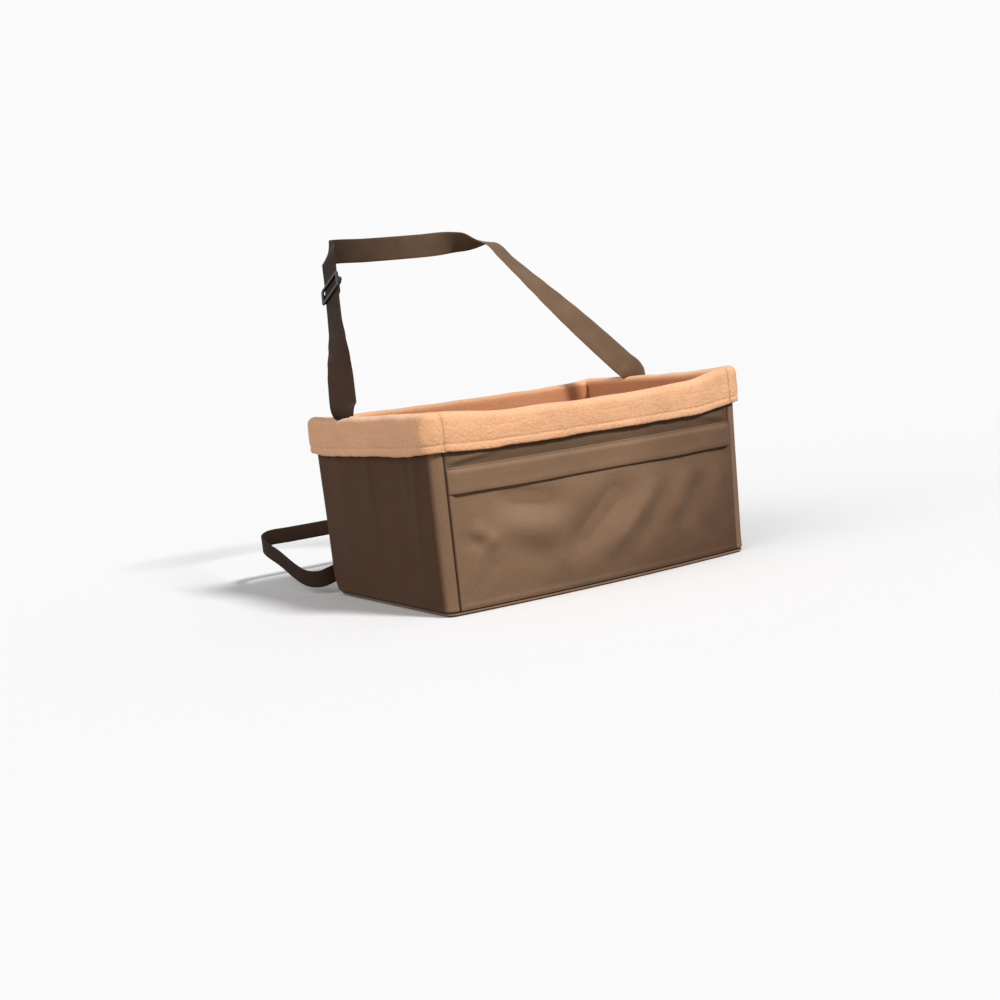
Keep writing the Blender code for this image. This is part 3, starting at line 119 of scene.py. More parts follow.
REAR_BEND = 2 * CORNER_RADIUS
STITCH_MARGIN = 0.0028
STITCH_LIFT = 0.0001
STITCH_PITCH = 0.0026
STITCH_RADIUS = 0.0004
CUFF_STITCH_PITCH = 0.0042
FOOT_TURN = 0.50
LEG_STOPS = 8
SOCKET_LENGTH = 0.0345
PLUG_LENGTH = 0.033
LADDER_THICKNESS = 0.0025
LADDER_SLOT = 0.004
LADDER_END_BAR = 0.003
LADDER_BAR = 0.005

# Camera, lights and surround
CAMERA_PLACE = (-1.0673, -1.7702, 0.3392)
CAMERA_RIGHT = (0.85425, -0.50554, -0.12115)
CAMERA_UP = (0.15919, 0.03254, 0.98671)
CAMERA_LENS = 51.19
SENSOR_WIDTH = 36.0
# Name, place, spread in degrees, power, colour
LIGHTS = (
    ("key", (0.60, -1.95, 1.75), 10.0, 3.0, (1.0, 0.98, 0.95)),
    ("fill", (-2.4, -0.6, 1.2), 60.0, 1.4, (1.0, 0.93, 0.86)),
)
SKY_STRENGTH = 0.30
MIRRORED_SHARE = 0.5
FLOOR_HALF = 400.0
BACKDROP_COLOUR = (0.96, 0.96, 0.96, 1.0)
FLOOR_COLOUR = (0.858, 0.875, 0.905)
FLOOR_BOUNCE_COLOUR = (0.20, 0.19, 0.18)

# Finishes
WHITE = (1.0, 1.0, 1.0)
SHEEN_ROUGHNESS = 0.45
CLOTH_PITCH = 0.0011
THREAD_PITCH = 0.0003
WEBBING_RIB = 0.0016
SLUB_SCALE = (220.0, 1600.0, 1.0)
SHELL_COLOUR = (0.226, 0.135, 0.080)
FLEECE_COLOUR = (0.89, 0.490, 0.270)
# Painted shade: front cloth darkens towards its right and its foot
FALLOFF_SLOPE = 0.75
FALLOFF_START = 0.10
FALLOFF_SPAN = 0.32
FALLOFF_PAINTED_SHADE = (0.40, 0.32, 0.29)
# Painted shade inside the basket: inner walls darker below the rim
INNER_PAINTED_SHADE = (0.58, 0.49, 0.46)
INNER_SHADE_TOP = 0.2540
INNER_SHADE_FADE = 0.0090
WEBBING_COLOUR = (0.078, 0.043, 0.026)
STRAP_WEBBING_COLOUR = (0.160, 0.100, 0.060)
# Painted shade that darkens the webbing towards the left, and how fast it sets in
LEFT_WEBBING_PAINTED_SHADE = (0.19, 0.14, 0.12)
LEFT_SHADE_SLOPE = 4.0

# Shell panels
PANEL_FOOT = SEAM_HEIGHT + SEAM_GAP
PANEL_TOP = BASKET_HEIGHT - 0.002
PANEL_DROP = 0.247
SIDE_COLUMNS = 150
FRONT_COLUMNS = 180
REAR_COLUMNS = 110
END_CLOTH_SIZE = (0.464, PANEL_DROP)
# Rise, crest's distance from the front seam, slant, width, share of it that stays low down
SIDE_FOLDS = (
    (0.0026, 0.058, 0.10, 0.011, 0),
    (0.0018, 0.088, -0.06, 0.016, 0),
    (-0.0008, 0.190, 0, 0.0035, 0),
    (0.0014, 0.200, 0, 0.016, 0),
    (0.0012, 0.300, 0, 0.030, 1),
)
# Rise, place along the front, height there, slope, width up, width across
FRONT_TUCKS = (
    (0.0034, -0.200, 0.2015, 0.11, 0.0042, 0.040),
    (-0.0012, -0.195, 0.19645, 0.09, 0.0028, 0.030),
    (0.0026, 0.198, 0.20232, -0.16, 0.0045, 0.026),
)

# Pocket and flap
POCKET_COLUMNS = 200
FLAP_COLUMNS = 150
FOLD_STRENGTH = 1.35
# Each fold's two ends on the pocket, its rise and its width
POCKET_FOLDS = (
    ((0.130, 0.88), (0.375, 0.71), -0.64, 0.044),
    ((0.100, 0.66), (0.330, 0.50), 0.40, 0.056),
    ((0.150, 0.46), (0.340, 0.30), -0.26, 0.046),
    ((0.610, 0.88), (0.335, 0.24), -0.84, 0.056),
    ((0.690, 0.80), (0.465, 0.18), 0.44, 0.034),
    ((0.740, 0.78), (0.585, 0.18), -0.36, 0.032),
    ((0.815, 0.86), (0.735, 0.38), 0.36, 0.034),
    ((0.870, 0.80), (0.775, 0.28), -0.46, 0.034),
    ((0.945, 0.82), (0.880, 0.25), 0.42, 0.030),
    ((0.985, 0.72), (0.955, 0.20), -0.50, 0.022),
    ((0.010, 0.60), (0.100, 0.49), -0.46, 0.024),
    ((0.050, 0.68), (0.130, 0.46), 0.44, 0.026),
    ((0.125, 0.42), (0.060, 0.10), -0.24, 0.026),
)
POCKET_FOOT = PANEL_FOOT
POCKET_HALF = SEAM_X - SEAM_GAP
POCKET_BACK = CLEARANCE + CLOTH
FLAP_HALF = SEAM_X - FLAP_END_MARGIN
FLAP_DROP = FLAP_SEAM_HEIGHT - FLAP_HEM_HEIGHT
POCKET_CLOTH_SIZE = (0.463, 0.161)
FLAP_CLOTH_SIZE = (0.461, 0.037)

# Fleece walls
RIM_SETTLE = 0.012
SIDE_LIFT = 0.0035
CORNER_LIFT = 0.0050
CORNER_LENGTH = 0.07
HEM_CORNER_LIFT = 0.0040
HEM_DROP = 0.0010
CUFF_FLARE = 0.0013
CUFF_PLUMP = 0.0012
PATCH_RELIEF = 0.0005
PATCH_EDGE = 0.0011
LINER_INNER_ROWS = 56
ROLL_STEPS = 12
CUFF_ROWS = 26
LINER_CLOTH_DROP = 0.286
CORNER_BEND = 0.035
FRONT_BEND_START = 0.925
FRONT_BEND_END = 0.980
# Name, quarter turn, length from seam to seam, columns
WALLS = (("front", 0, 0.464, 230), ("right", 1, 0.386, 170), ("rear", 2, 0.50, 230),
         ("left", 3, 0.386, 170))
PATCH_SPOTS = {
    "front": (-0.150, 0.020, 0.170),
    "rear": (-0.130, 0.130),
    "left": (-0.075, 0.115),
    "right": (-0.075, 0.115),
}
HEM_STITCH_HEIGHT = CUFF_HEM_HEIGHT + 0.0105
PATCH_HEIGHT = 0.2315
PATCH_HALF_WIDTH = 0.025
PATCH_HALF_HEIGHT = 0.010

# Waves in the cloth: rise, grain, seed
SIDE_SLACK = {-1: (0.0012, 0.070, 2), 1: (0.0012, 0.070, 4)}
FRONT_SLACK = (0.0010, 0.050, 11)
REAR_SLACK = (0.0013, 0.070, 12)
POCKET_SLACK = (0.0008, 0.034, 21)
POCKET_PUCKER = (0.0003, 0.009, 22)
FLAP_WAVE = (0.0011, 0.050, 31)
FLAP_HEM_WAVE = (0.0009, 0.090, 33)
HEM_WAVES = ((0.0026, 0.095, 41), (0.0011, 0.030, 46), (0.0005, 0.0045, 47))
PILE_WAVES = ((0.00042, 0.0034, 43), (0.00030, 0.0021, 44))
CUFF_LUMPS = (0.0014, 0.026, 42)
RIM_LUMPS = (0.0020, 0.060, 45)
FLARE_WAVE = (0.5, 0.055, 48)
INNER_WAVE = (0.0016, 0.045, 49)
PAD_DIMPLES = (0.0012, 0.050, 51)

# Rolls and dips of sewn edges: rise, distance of the crest, width
SIDE_SEAM_ROLL = (0.0010, 0.0045, 0.0030)
END_SEAM_ROLL = (0.0006, 0.004, 0.003)
SEAM_DIP = (-0.0009, 0.0, 0.0012)
FOOT_ROLL = (0.0006, SEAM_HEIGHT + 0.004, 0.003)
FOOT_DIP = (-0.0009, PANEL_FOOT, 0.0010)
POCKET_EDGE_ROLL = (0.0010, 0.0045, 0.0032)
FLAP_SEAM_ROLL = (0.0007, 0.0008, 0.0008)
FLAP_SEAM_DIP = (-0.0010, 0.0024, 0.0009)
FLAP_HEM_ROLL = (0.0004, 0.0050, 0.0040)
FLAP_HEM_DIP = (-0.0005, 0.0, 0.0008)
FLEECE_SEAM_DIP = (-0.0024, 0.0, 0.0026)
HEM_STITCH_DIP = (-0.0010, HEM_STITCH_HEIGHT, 0.0014)
FAR_CORNER_RISE = (0.0040, 0.0, 0.080)
FAR_CORNER_HEM = (0.0030, 0.0, 0.050)

# Adjuster
ADJUSTER_HALF_WIDTH = 0.025
ADJUSTER_HALF_LENGTH = 0.017
ADJUSTER_BAR = 0.006
ADJUSTER_THICKNESS = 0.003
ADJUSTER_CORNER = 0.006
ADJUSTER_OPENING = 0.0196
CENTRE_BAR_HALF = 0.002
TAB_WEBBING = 0.0012
PLASTIC_EDGE = 0.0007
ADJUSTER_ABOVE = WEBBING / 2 + CLEARANCE
ADJUSTER_TOP = ADJUSTER_ABOVE + ADJUSTER_THICKNESS
TAB_OUTER = ADJUSTER_ABOVE + TAB_WEBBING + CLEARANCE
CENTRE_BAR_BOTTOM = -TAB_OUTER - ADJUSTER_THICKNESS * 0.6


def clamp(value):
    """A value kept between 0 and 1."""
    return min(1.0, max(0.0, value))


def hang(place):
    """Lean, bow and sag: where a point of the square basket really lies."""
    x, y, z = place
    down = 1.0 - clamp(z / BASKET_HEIGHT)
    up = clamp((z - SAG_START_HEIGHT) / (BASKET_HEIGHT - SAG_START_HEIGHT))
    weight = clamp(-y / (HALF_DEPTH - 2 * LINER_INSET))
    lean = FRONT_DRAW_IN * down * min(0.0, y) / HALF_DEPTH
    middle = 1.0 - min(1.0, abs(x) / HALF_LENGTH) ** 2
    inside = min(abs(x), HALF_LENGTH)
    bow = math.sqrt(BOW_RADIUS ** 2 - inside ** 2) - (BOW_RADIUS - FRONT_BOW)
    return Vector((
        x - SIDE_DRAW_IN * down * x / HALF_LENGTH,
        y - lean - bow * weight,
        z - RIM_SAG * middle * up * weight,
    ))


def ease(share):
    """Smooth step from 0 to 1."""
    share = clamp(share)
    return share * share * (3 - 2 * share)


def wave(place, rise, grain, seed):
    """Smooth noise of this rise whose lumps are about one grain across."""
    return rise * noise.noise(Vector(place) / grain + Vector((seed * 7.31, seed * 3.17, seed)))


def ridge(distance, width):
    """A soft ridge, 1 at its crest."""
    return math.exp(-(distance / width) ** 2)


def roll(distance, rise, crest, width):
    """A soft roll, or a dip, of cloth whose crest lies at a distance."""
    return rise * ridge(distance - crest, width)


def add_node(tree, kind, output, inputs, **settings):
    """Output of a new shader node; each input is a socket to link or a value to set."""
    node = tree.nodes.new("ShaderNode" + kind)
    for name, value in settings.items():
        setattr(node, name, value)
    for name, value in inputs.items():
        if isinstance(value, bpy.types.NodeSocket):
            tree.links.new(value, node.inputs[name])
        else:
            node.inputs[name].default_value = value
    return node.outputs[output]


def shade(colour, factor):
    """A colour made lighter or darker."""
    return tuple(min(1.0, channel * factor) for channel in colour)


class Paint:
    """A Principled material, with the node helpers that the finishes share."""

    def __init__(self, name, roughness, metallic=0.0, sheen=0.0, specular=0.5):
        self.material = bpy.data.materials.new(name)
        self.material.use_nodes = True
        self.tree = self.material.node_tree
        self.sockets = self.tree.nodes["Principled BSDF"].inputs
        for socket, value in (("Roughness", roughness), ("Metallic", metallic),
                              ("Sheen Weight", sheen), ("Sheen Roughness", SHEEN_ROUGHNESS),
                              ("Specular IOR Level", specular)):
            self.sockets[socket].default_value = value

    def place(self, source, scale=(1.0, 1.0, 1.0)):
        """Texture coordinates; the metre is the unit of both sources."""
        return add_node(self.tree, "Mapping", "Vector", {
            "Vector": add_node(self.tree, "TexCoord", source, {}), "Scale": scale})

    def axis(self, vector, axis):
        """One axis of a vector."""
        return add_node(self.tree, "SeparateXYZ", axis, {"Vector": vector})

    def noise(self, vector, scale, detail=3.0, roughness=0.55):
        """A noise value."""
        return add_node(self.tree, "TexNoise", "Fac", {
            "Vector": vector, "Scale": scale, "Detail": detail, "Roughness": roughness})

    def bands(self, vector, pitch, direction, distortion=0.0):
        """Bands this far apart."""
        return add_node(self.tree, "TexWave", "Fac", {
            "Vector": vector, "Scale": math.pi / pitch / 10, "Distortion": distortion},
            wave_type='BANDS', bands_direction=direction, wave_profile='SIN')

    def math(self, operation, first, second=0.0):
        """A Math node's value."""
        return add_node(self.tree, "Math", "Value", {0: first, 1: second}, operation=operation)

    def mixed(self, *parts):
        """Sum of (value, weight) parts."""
        terms = [self.math('MULTIPLY', value, weight) for value, weight in parts]
        total = terms[0]
        for term in terms[1:]:
            total = self.math('ADD', total, term)
        return total

    def ramp(self, value, *stops):
        """Colours picked by a value, from (place, colour) stops."""
        colour = add_node(self.tree, "ValToRGB", "Color", {"Fac": value})
        elements = colour.node.color_ramp.elements
        while len(elements) < len(stops):
            elements.new(0.5)
        for element, (place, tone) in zip(elements, stops):
            element.position = place
            element.color = (*tone, 1.0)
        return colour

    def dyed(self, value, colour, *stops):
        """Shades of a colour picked by a value, from (place, factor) stops."""
        return self.ramp(value, *((place, shade(colour, factor)) for place, factor in stops))

    def tinted(self, colour, value, *stops):
        """A colour times the one that a value picks from (place, colour) stops."""
        return add_node(self.tree, "Mix", 2, {0: 1.0, 6: colour, 7: self.ramp(value, *stops)},
                        data_type='RGBA', blend_type='MULTIPLY')

    def finished(self, colour, relief, strength, distance, gloss=None):
        """The material, once its colour, its relief and its gloss are linked."""
        bump = add_node(self.tree, "Bump", "Normal", {
            "Height": relief, "Strength": strength, "Distance": distance})
        self.tree.links.new(colour, self.sockets["Base Color"])
        self.tree.links.new(bump, self.sockets["Normal"])
        if gloss:
            self.tree.links.new(gloss, self.sockets["Roughness"])
        return self.material


def woven_cloth(name, colour, pitch=CLOTH_PITCH, flat_width=None, painted_falloff=False):
    """Plain-woven polyester.

    A flat width darkens a panel with painted shade between its edge bands, which wrap round
    the corners and keep full colour; a falloff adds painted shade towards the cloth's right
    and its foot.
    """
    paint = Paint(name, roughness=0.66, sheen=0.10, specular=0.22)
    threads = paint.place("UV")
    body = paint.place("Object")
    weave = paint.math('MAXIMUM', paint.bands(threads, pitch, 'X'),
                       paint.bands(threads, pitch, 'Y'))
    slub = paint.noise(paint.place("UV", SLUB_SCALE), 1.0, 2.0)
    tone = paint.mixed((paint.noise(body, 9.0, 4.0), 0.50), (slub, 0.20),
                       (paint.noise(body, 330.0, 2.0), 0.30))
    dyed = paint.dyed(tone, colour, (0.30, 0.78), (0.52, 1.0), (0.75, 1.22))
    # Painted shade on the side panel; the edge bands that wrap round the corners keep full colour
    if flat_width:
        from_middle = paint.math('SUBTRACT', paint.axis(threads, "X"), flat_width / 2)
        band = paint.math('DIVIDE', paint.math('ABSOLUTE', from_middle), flat_width / 2)
        dyed = paint.tinted(dyed, band, (0.880, SIDE_PAINTED_SHADE), (0.925, WHITE))
    # Painted shade towards the right and the foot
    if painted_falloff:
        drop = paint.math('MULTIPLY', paint.axis(body, "Z"), FALLOFF_SLOPE)
        reach = paint.math('SUBTRACT', paint.axis(body, "X"), drop)
        span = paint.math('DIVIDE', paint.math('ADD', reach, FALLOFF_START), FALLOFF_SPAN)
        dyed = paint.tinted(dyed, span, (0.0, WHITE), (1.0, FALLOFF_PAINTED_SHADE))
    relief = paint.mixed((weave, 1.0), (slub, 0.8))
    return paint.finished(dyed, relief, strength=0.35, distance=0.00025)


def fleece_cloth(name, colour, inner_shade=None):
    """Brushed fleece: short curled pile; an optional colour is painted shade that darkens the inner
    walls below the rim, where the pile also has less sheen and relief.
    """
    paint = Paint(name, roughness=0.95, sheen=0.2 if inner_shade else 0.55, specular=0.12)
    body = paint.place("Object")
    pile = paint.noise(body, 700.0, 5.0, 0.7)
    curl = paint.noise(body, 340.0, 3.0, 0.6)
    tone = paint.mixed((pile, 0.40), (curl, 0.38), (paint.noise(body, 14.0), 0.22))
    dyed = paint.dyed(tone, colour, (0.36, 0.76), (0.50, 1.0), (0.64, 1.12))
    # Painted shade on the inner walls, full below the rim and fading out above it
    if inner_shade:
        rise = paint.math('SUBTRACT', paint.axis(body, "Z"), INNER_SHADE_TOP)
        dyed = paint.tinted(dyed, paint.math('DIVIDE', rise, INNER_SHADE_FADE),
                            (0.0, inner_shade), (1.0, WHITE))
    relief = paint.mixed((pile, 1.0), (curl, 1.3))
    return paint.finished(dyed, relief, strength=0.35 if inner_shade else 0.8, distance=0.0010)


def webbing_cloth(name, colour, rib=WEBBING_RIB, left_shade=None):
    """Woven webbing: ribs across and fine warp along; an optional colour darkens it with painted
    shade towards its left.
    """
    paint = Paint(name, roughness=0.66, sheen=0.06, specular=0.14)
    threads = paint.place("UV")
    body = paint.place("Object")
    weave = paint.mixed((paint.bands(threads, rib, 'Y', 0.4), 0.6),
                        (paint.bands(threads, rib * 0.55, 'X'), 0.4))
    tone = paint.mixed((weave, 0.45), (paint.noise(body, 30.0, 4.0), 0.55))
    dyed = paint.dyed(tone, colour, (0.28, 0.72), (0.52, 1.0), (0.78, 1.30))
    # Painted shade towards the left
    if left_shade:
        span = paint.math('ADD', paint.math('MULTIPLY', paint.axis(body, "X"), LEFT_SHADE_SLOPE), 0.5)
        dyed = paint.tinted(dyed, span, (0.0, left_shade), (1.0, WHITE))
    return paint.finished(dyed, weave, strength=0.55, distance=0.0004)


def moulded_plastic(name, colour, roughness=0.24):
    """Moulded plastic with a fine spark texture and handling marks in its gloss."""
    paint = Paint(name, roughness)
    body = paint.place("Object")
    marks = paint.noise(body, 120.0, 4.0)
    gloss = paint.math('ADD', paint.math('MULTIPLY', marks, 0.22), roughness - 0.1)
    dyed = paint.dyed(marks, colour, (0.35, 0.8), (0.65, 1.5))
    spark = paint.noise(body, 1400.0, 2.0)
    return paint.finished(dyed, spark, strength=0.12, distance=0.0001, gloss=gloss)


def drawn_steel(name, colour, roughness=0.28):
    """Drawn wire: dull spots in its tone, gloss and relief."""
    paint = Paint(name, roughness, metallic=1.0)
    spots = paint.noise(paint.place("Object"), 350.0, 4.0)
    gloss = paint.math('ADD', paint.math('MULTIPLY', spots, 0.3), roughness - 0.12)
    dyed = paint.dyed(spots, colour, (0.3, 0.8), (0.7, 1.1))
    return paint.finished(dyed, spots, strength=0.08, distance=0.0001, gloss=gloss)


def porous_foam(name, colour):
    """Open-cell foam: small pores over uneven tone."""
    paint = Paint(name, roughness=0.95, specular=0.15)
    cells = add_node(paint.tree, "TexVoronoi", "Distance",
                     {"Vector": paint.place("Object"), "Scale": 700.0})
    dyed = paint.dyed(cells, colour, (0.1, 0.7), (0.5, 1.0), (0.9, 1.1))
    return paint.finished(dyed, cells, strength=0.6, distance=0.0006)


finishes = {
    "shell": woven_cloth("shell_cloth", SHELL_COLOUR),
    # Front cloth: painted shade towards its right and its foot
    "front": woven_cloth("front_cloth", SHELL_COLOUR, painted_falloff=True),
    # Front panel: its darker colour is painted shadow under the cuff, with the painted falloff shade
    # too
    "cuff_shadow": woven_cloth("cuff_shadow_cloth", shade(SHELL_COLOUR, 0.66), painted_falloff=True),
    # Side cloth: painted shade between its edge bands
    "side": woven_cloth("side_cloth", SHELL_COLOUR, flat_width=SIDE_CLOTH_WIDTH),
    "fleece": fleece_cloth("fleece_pile", FLEECE_COLOUR),
    # Inner fleece: painted shade below the rim
    "inner_shaded_fleece": fleece_cloth("fleece_inner_shaded", FLEECE_COLOUR, INNER_PAINTED_SHADE),
    # Webbing: painted shade towards its left
    "webbing": webbing_cloth("strap_webbing", STRAP_WEBBING_COLOUR, left_shade=LEFT_WEBBING_PAINTED_SHADE),
    "tape": webbing_cloth("zipper_tape_cloth", shade(WEBBING_COLOUR, 0.9), rib=0.0009),
    "thread": woven_cloth("sewing_thread", shade(SHELL_COLOUR, 0.55), pitch=THREAD_PITCH),
    "pale_thread": woven_cloth("pale_thread", shade(FLEECE_COLOUR, 0.62), pitch=THREAD_PITCH),
    "hook": porous_foam("hook_and_loop", (0.075, 0.048, 0.034)),
    "plastic": moulded_plastic("black_acetal", (0.012, 0.012, 0.013)),
    "teeth": moulded_plastic("zipper_teeth", (0.055, 0.034, 0.024), 0.38),
    "board": moulded_plastic("stiff_board", (0.045, 0.045, 0.050), 0.55),
    "steel": drawn_steel("steel_wire", (0.62, 0.62, 0.64)),
    "slider": drawn_steel("slider_metal", (0.10, 0.066, 0.048), 0.36),
    "foam": porous_foam("pad_foam", (0.62, 0.61, 0.55)),
}
# CAD nodes that keep their own mesh, by finish
SHOWN_NODES = {
    "plastic": ("buckle_socket", "buckle_plug", "buckle_upper_prong", "buckle_lower_prong",
                "strap_adjuster"),
    "board": ("front_board", "rear_board", "left_board", "right_board", "base_board"),
    "steel": ("rim_wire", "tether_ring"),
    "slider": ("zipper_slider", "zipper_pull", "zipper_left_stop", "zipper_right_stop"),
    "teeth": ("zipper_upper_teeth", "zipper_lower_teeth"),
    "tape": ("zipper_upper_tape", "zipper_lower_tape"),
    "webbing": ("support_webbing", "tether_tab"),
}


def in_scene(name, data):
    """A new object with this data, in the scene."""
    made = bpy.data.objects.new(name, data)
    bpy.context.scene.collection.objects.link(made)
    return made


def mesh_object(name, bm):
    """A new object with the bmesh's mesh; the bmesh is used up."""
    mesh = bpy.data.meshes.new(name)
    bm.to_mesh(mesh)
    bm.free()
    return in_scene(name, mesh)


def add_object(name, bm, finish, body="basket", replaced=(), sharp_angle=None):
    """Turn a bmesh into a smooth-shaded piece that rides on a body, unless it has none."""
    piece = mesh_object(name, bm)
    piece.data.shade_smooth()
    piece.data.materials.append(finishes[finish])
    if sharp_angle:
        piece.data.set_sharp_from_angle(angle=math.radians(sharp_angle))
    if body:
        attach(piece, body)
    if replaced:
        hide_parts(*replaced)
    return piece


def join_rings(bm, rings):
    """Quads between closed rings of vertices, each ring to the next."""
    for lower, upper in zip(rings, rings[1:]):
        for index, corner in enumerate(lower):
            after = (index + 1) % len(lower)
            bm.faces.new((corner, lower[after], upper[after], upper[index]))


def lay_uvs(bm, uv_at):
    """UVs in metres for all faces so far; uv_at gives a vertex's."""
    uv_layer = bm.loops.layers.uv.new("UVMap")
    for face in bm.faces:
        for loop in face.loops:
            loop[uv_layer].uv = uv_at(loop.vert)


def grid_bmesh(place, across, up, size, wrap=False):
    """A quad grid from place(u, v), with UVs in metres; wrap closes it round v."""
    bm = bmesh.new()
    uv_layer = bm.loops.layers.uv.new("UVMap")
    grid = [[bm.verts.new(place(u, v)) for u in across] for v in up]
    rows = list(zip(grid, grid[1:], up, up[1:]))
    if wrap:
        rows.append((grid[-1], grid[0], up[-1], 1.0 + up[1] - up[0]))
    for lower, upper, v0, v1 in rows:
        for column in range(len(across) - 1):
            face = bm.faces.new((lower[column], lower[column + 1],
                                 upper[column + 1], upper[column]))
            u0, u1 = across[column], across[column + 1]
            for loop, uv in zip(face.loops, ((u0, v0), (u1, v0), (u1, v1), (u0, v1))):
                loop[uv_layer].uv = (uv[0] * size[0], uv[1] * size[1])
    return bm


def spread(count):
    """Even shares from 0 to 1."""
    return [index / count for index in range(count + 1)]


def spread_fine_ends(count, fine=0.03, fine_count=6):
    """Shares from 0 to 1 with close ones at both ends."""
    start = [fine * index / fine_count for index in range(fine_count)]
    middle = [fine + (1 - 2 * fine) * index / count for index in range(count + 1)]
    return start + middle + [1 - share for share in reversed(start)]


def spread_from(near, count):
    """Shares from 0 to 1: the close ones given, then even ones."""
    return list(near[:-1]) + [near[-1] + (1 - near[-1]) * share for share in spread(count)]


PANEL_ROWS = spread_from((0.0, 0.002, 0.005, 0.009, 0.014, 0.020, 0.03), 84)
POCKET_ROWS = spread_from((0.0, 0.004, 0.009, 0.016, 0.024, 0.035), 96)
FLAP_ROWS = sorted(set(spread(30) + [0.955, 0.975, 0.985, 0.993]))


def thicken(piece):
    """Cloth thickness behind a sheet's outer face."""
    solid = piece.modifiers.new("thickness", 'SOLIDIFY')
    solid.thickness = CLOTH
    solid.offset = -1.0


def cloth_sheet(name, place, across, up, size, finish, body, replaced):
    """A sheet whose outer face is place(u, v), with its thickness behind it; size is as cut."""
    piece = add_object(name, grid_bmesh(place, across, up, size), finish, body, replaced)
    thicken(piece)
    return piece


def base_reach(radius, height):
    """How much the base's rounding draws a wall in at a height."""
    if height >= radius:
        return 0.0
    return radius - math.sqrt(radius ** 2 - (radius - height) ** 2)


def wall_lines(height, inset=0.0):
    """Side, front and rear of the basket's outer face at a height, or this far inside it."""
    return (HALF_LENGTH - inset - base_reach(SIDE_BASE_RADIUS, height),
            -HALF_DEPTH + (inset + base_reach(FRONT_BASE_RADIUS, height)),
            HALF_DEPTH - (inset + base_reach(REAR_BASE_RADIUS, height)))


def round_place(centre, radius, angle):
    """Place and outward direction on a rounded corner."""
    out = Vector((math.cos(angle), math.sin(angle)))
    return centre + out * radius, out


def side_plan(share, height, out):
    """Left shell panel in plan, from its rear seam to its front seam, this far outside."""
    half_x, low_y, high_y = wall_lines(height)
    radius = CORNER_RADIUS
    rear = Vector((radius - half_x, high_y - radius))
    front = Vector((radius - half_x, low_y + radius))
    wrap = half_x - radius - SEAM_X
    arc = radius * math.pi / 2
    straight = high_y - low_y - 2 * radius
    along = share * (2 * wrap + 2 * arc + straight)
    if along < wrap:
        return Vector((-SEAM_X - along, high_y + out))
    along -= wrap
    if along < arc:
        return round_place(rear, radius + out, math.pi / 2 + along / radius)[0]
    along -= arc
    if along < straight:
        return rear - Vector((radius + out, along))
    along -= straight
    if along < arc:
        return round_place(front, radius + out, math.pi + along / radius)[0]
    return front + Vector((along - arc, -radius - out))


def side_billow(share, height, side):
    """How far the side panel's cloth stands out: a few soft upright folds and its sewn edges."""
    from_seam = min(share, 1 - share) * SIDE_CLOTH_WIDTH
    from_front = (1 - share) * SIDE_CLOTH_WIDTH
    below_hem = CUFF_HEM_HEIGHT - height
    free = ease(min(share, 1 - share) / 0.06) * ease((height - SEAM_HEIGHT) / 0.03)
    high = ease((height - 0.03) / 0.19)
    folds = sum(roll(from_front - slant * below_hem, rise, crest, width) * max(high, low)
                for rise, crest, slant, width, low in SIDE_FOLDS)
    slack = wave((share * SIDE_CLOTH_WIDTH, height * 0.6, side), *SIDE_SLACK[side])
    edges = roll(from_seam, *SIDE_SEAM_ROLL) + roll(from_seam, *SEAM_DIP)
    edges += roll(height, *FOOT_ROLL) + roll(height, *FOOT_DIP)
    return free * (folds + slack) + edges


def panel_height(v):
    """Height on a shell panel."""
    return PANEL_FOOT + (PANEL_TOP - PANEL_FOOT) * v


def make_side_panel(side):
    """Left or right shell panel, round both of its corners."""
    name = "left" if side < 0 else "right"

    def place(u, v):
        share = u if side < 0 else 1 - u
        height = panel_height(v)
        plan = side_plan(share, height, side_billow(share, height, side))
        return hang((-side * plan.x, plan.y, height))

    across = spread_fine_ends(SIDE_COLUMNS)
    cloth_sheet(f"shell_{name}", place, across, PANEL_ROWS, (SIDE_CLOTH_WIDTH, PANEL_DROP), "side",
                "basket", (f"{name}_panel",))


def make_end_panels():
    """Front panel behind the pocket, and the rear panel."""
    half_x = SEAM_X - SEAM_GAP / 2

    def sewn_edge(x, height):
        """Rolled and dipped cloth beside the corner seams and the bottom seam."""
        from_seam = half_x - abs(x)
        return (roll(from_seam, *END_SEAM_ROLL) + roll(from_seam, *SEAM_DIP)
                + roll(height, *FOOT_DIP))

    def front_place(u, v):
        x = half_x * (2 * u - 1)
        height = panel_height(v)
        free = ease(min(u, 1 - u) / 0.03) * ease((height - FLAP_SEAM_HEIGHT) / 0.006)
        tuck = sum(roll(height - (x - middle) * slope, rise, level, up) * ridge(x - middle, wide)
                   for rise, middle, level, slope, up, wide in FRONT_TUCKS)
        slack = FRONT_SLACK[0] + wave((x, 0, height * 2), *FRONT_SLACK)
        out = free * max(0.0, slack + tuck) + sewn_edge(x, height)
        return hang((x, -HALF_DEPTH - out, height))

    def rear_place(u, v):
        x = half_x * (1 - 2 * u)
        height = panel_height(v)
        free = ease(min(u, 1 - u) / 0.05) * ease((height - 0.05) / 0.03)
        out = free * wave((x, 1, height), *REAR_SLACK) + sewn_edge(x, height)
        return hang((x, wall_lines(height)[2] + out, height))

    # The front panel's darker cloth is painted shadow under the cuff
    cloth_sheet("shell_front", front_place, spread_fine_ends(FRONT_COLUMNS), PANEL_ROWS,
                END_CLOTH_SIZE, "cuff_shadow", "basket", ("front_panel",))
    cloth_sheet("shell_rear", rear_place, spread_fine_ends(REAR_COLUMNS), PANEL_ROWS,
                END_CLOTH_SIZE, "shell", "basket", ("rear_panel",))


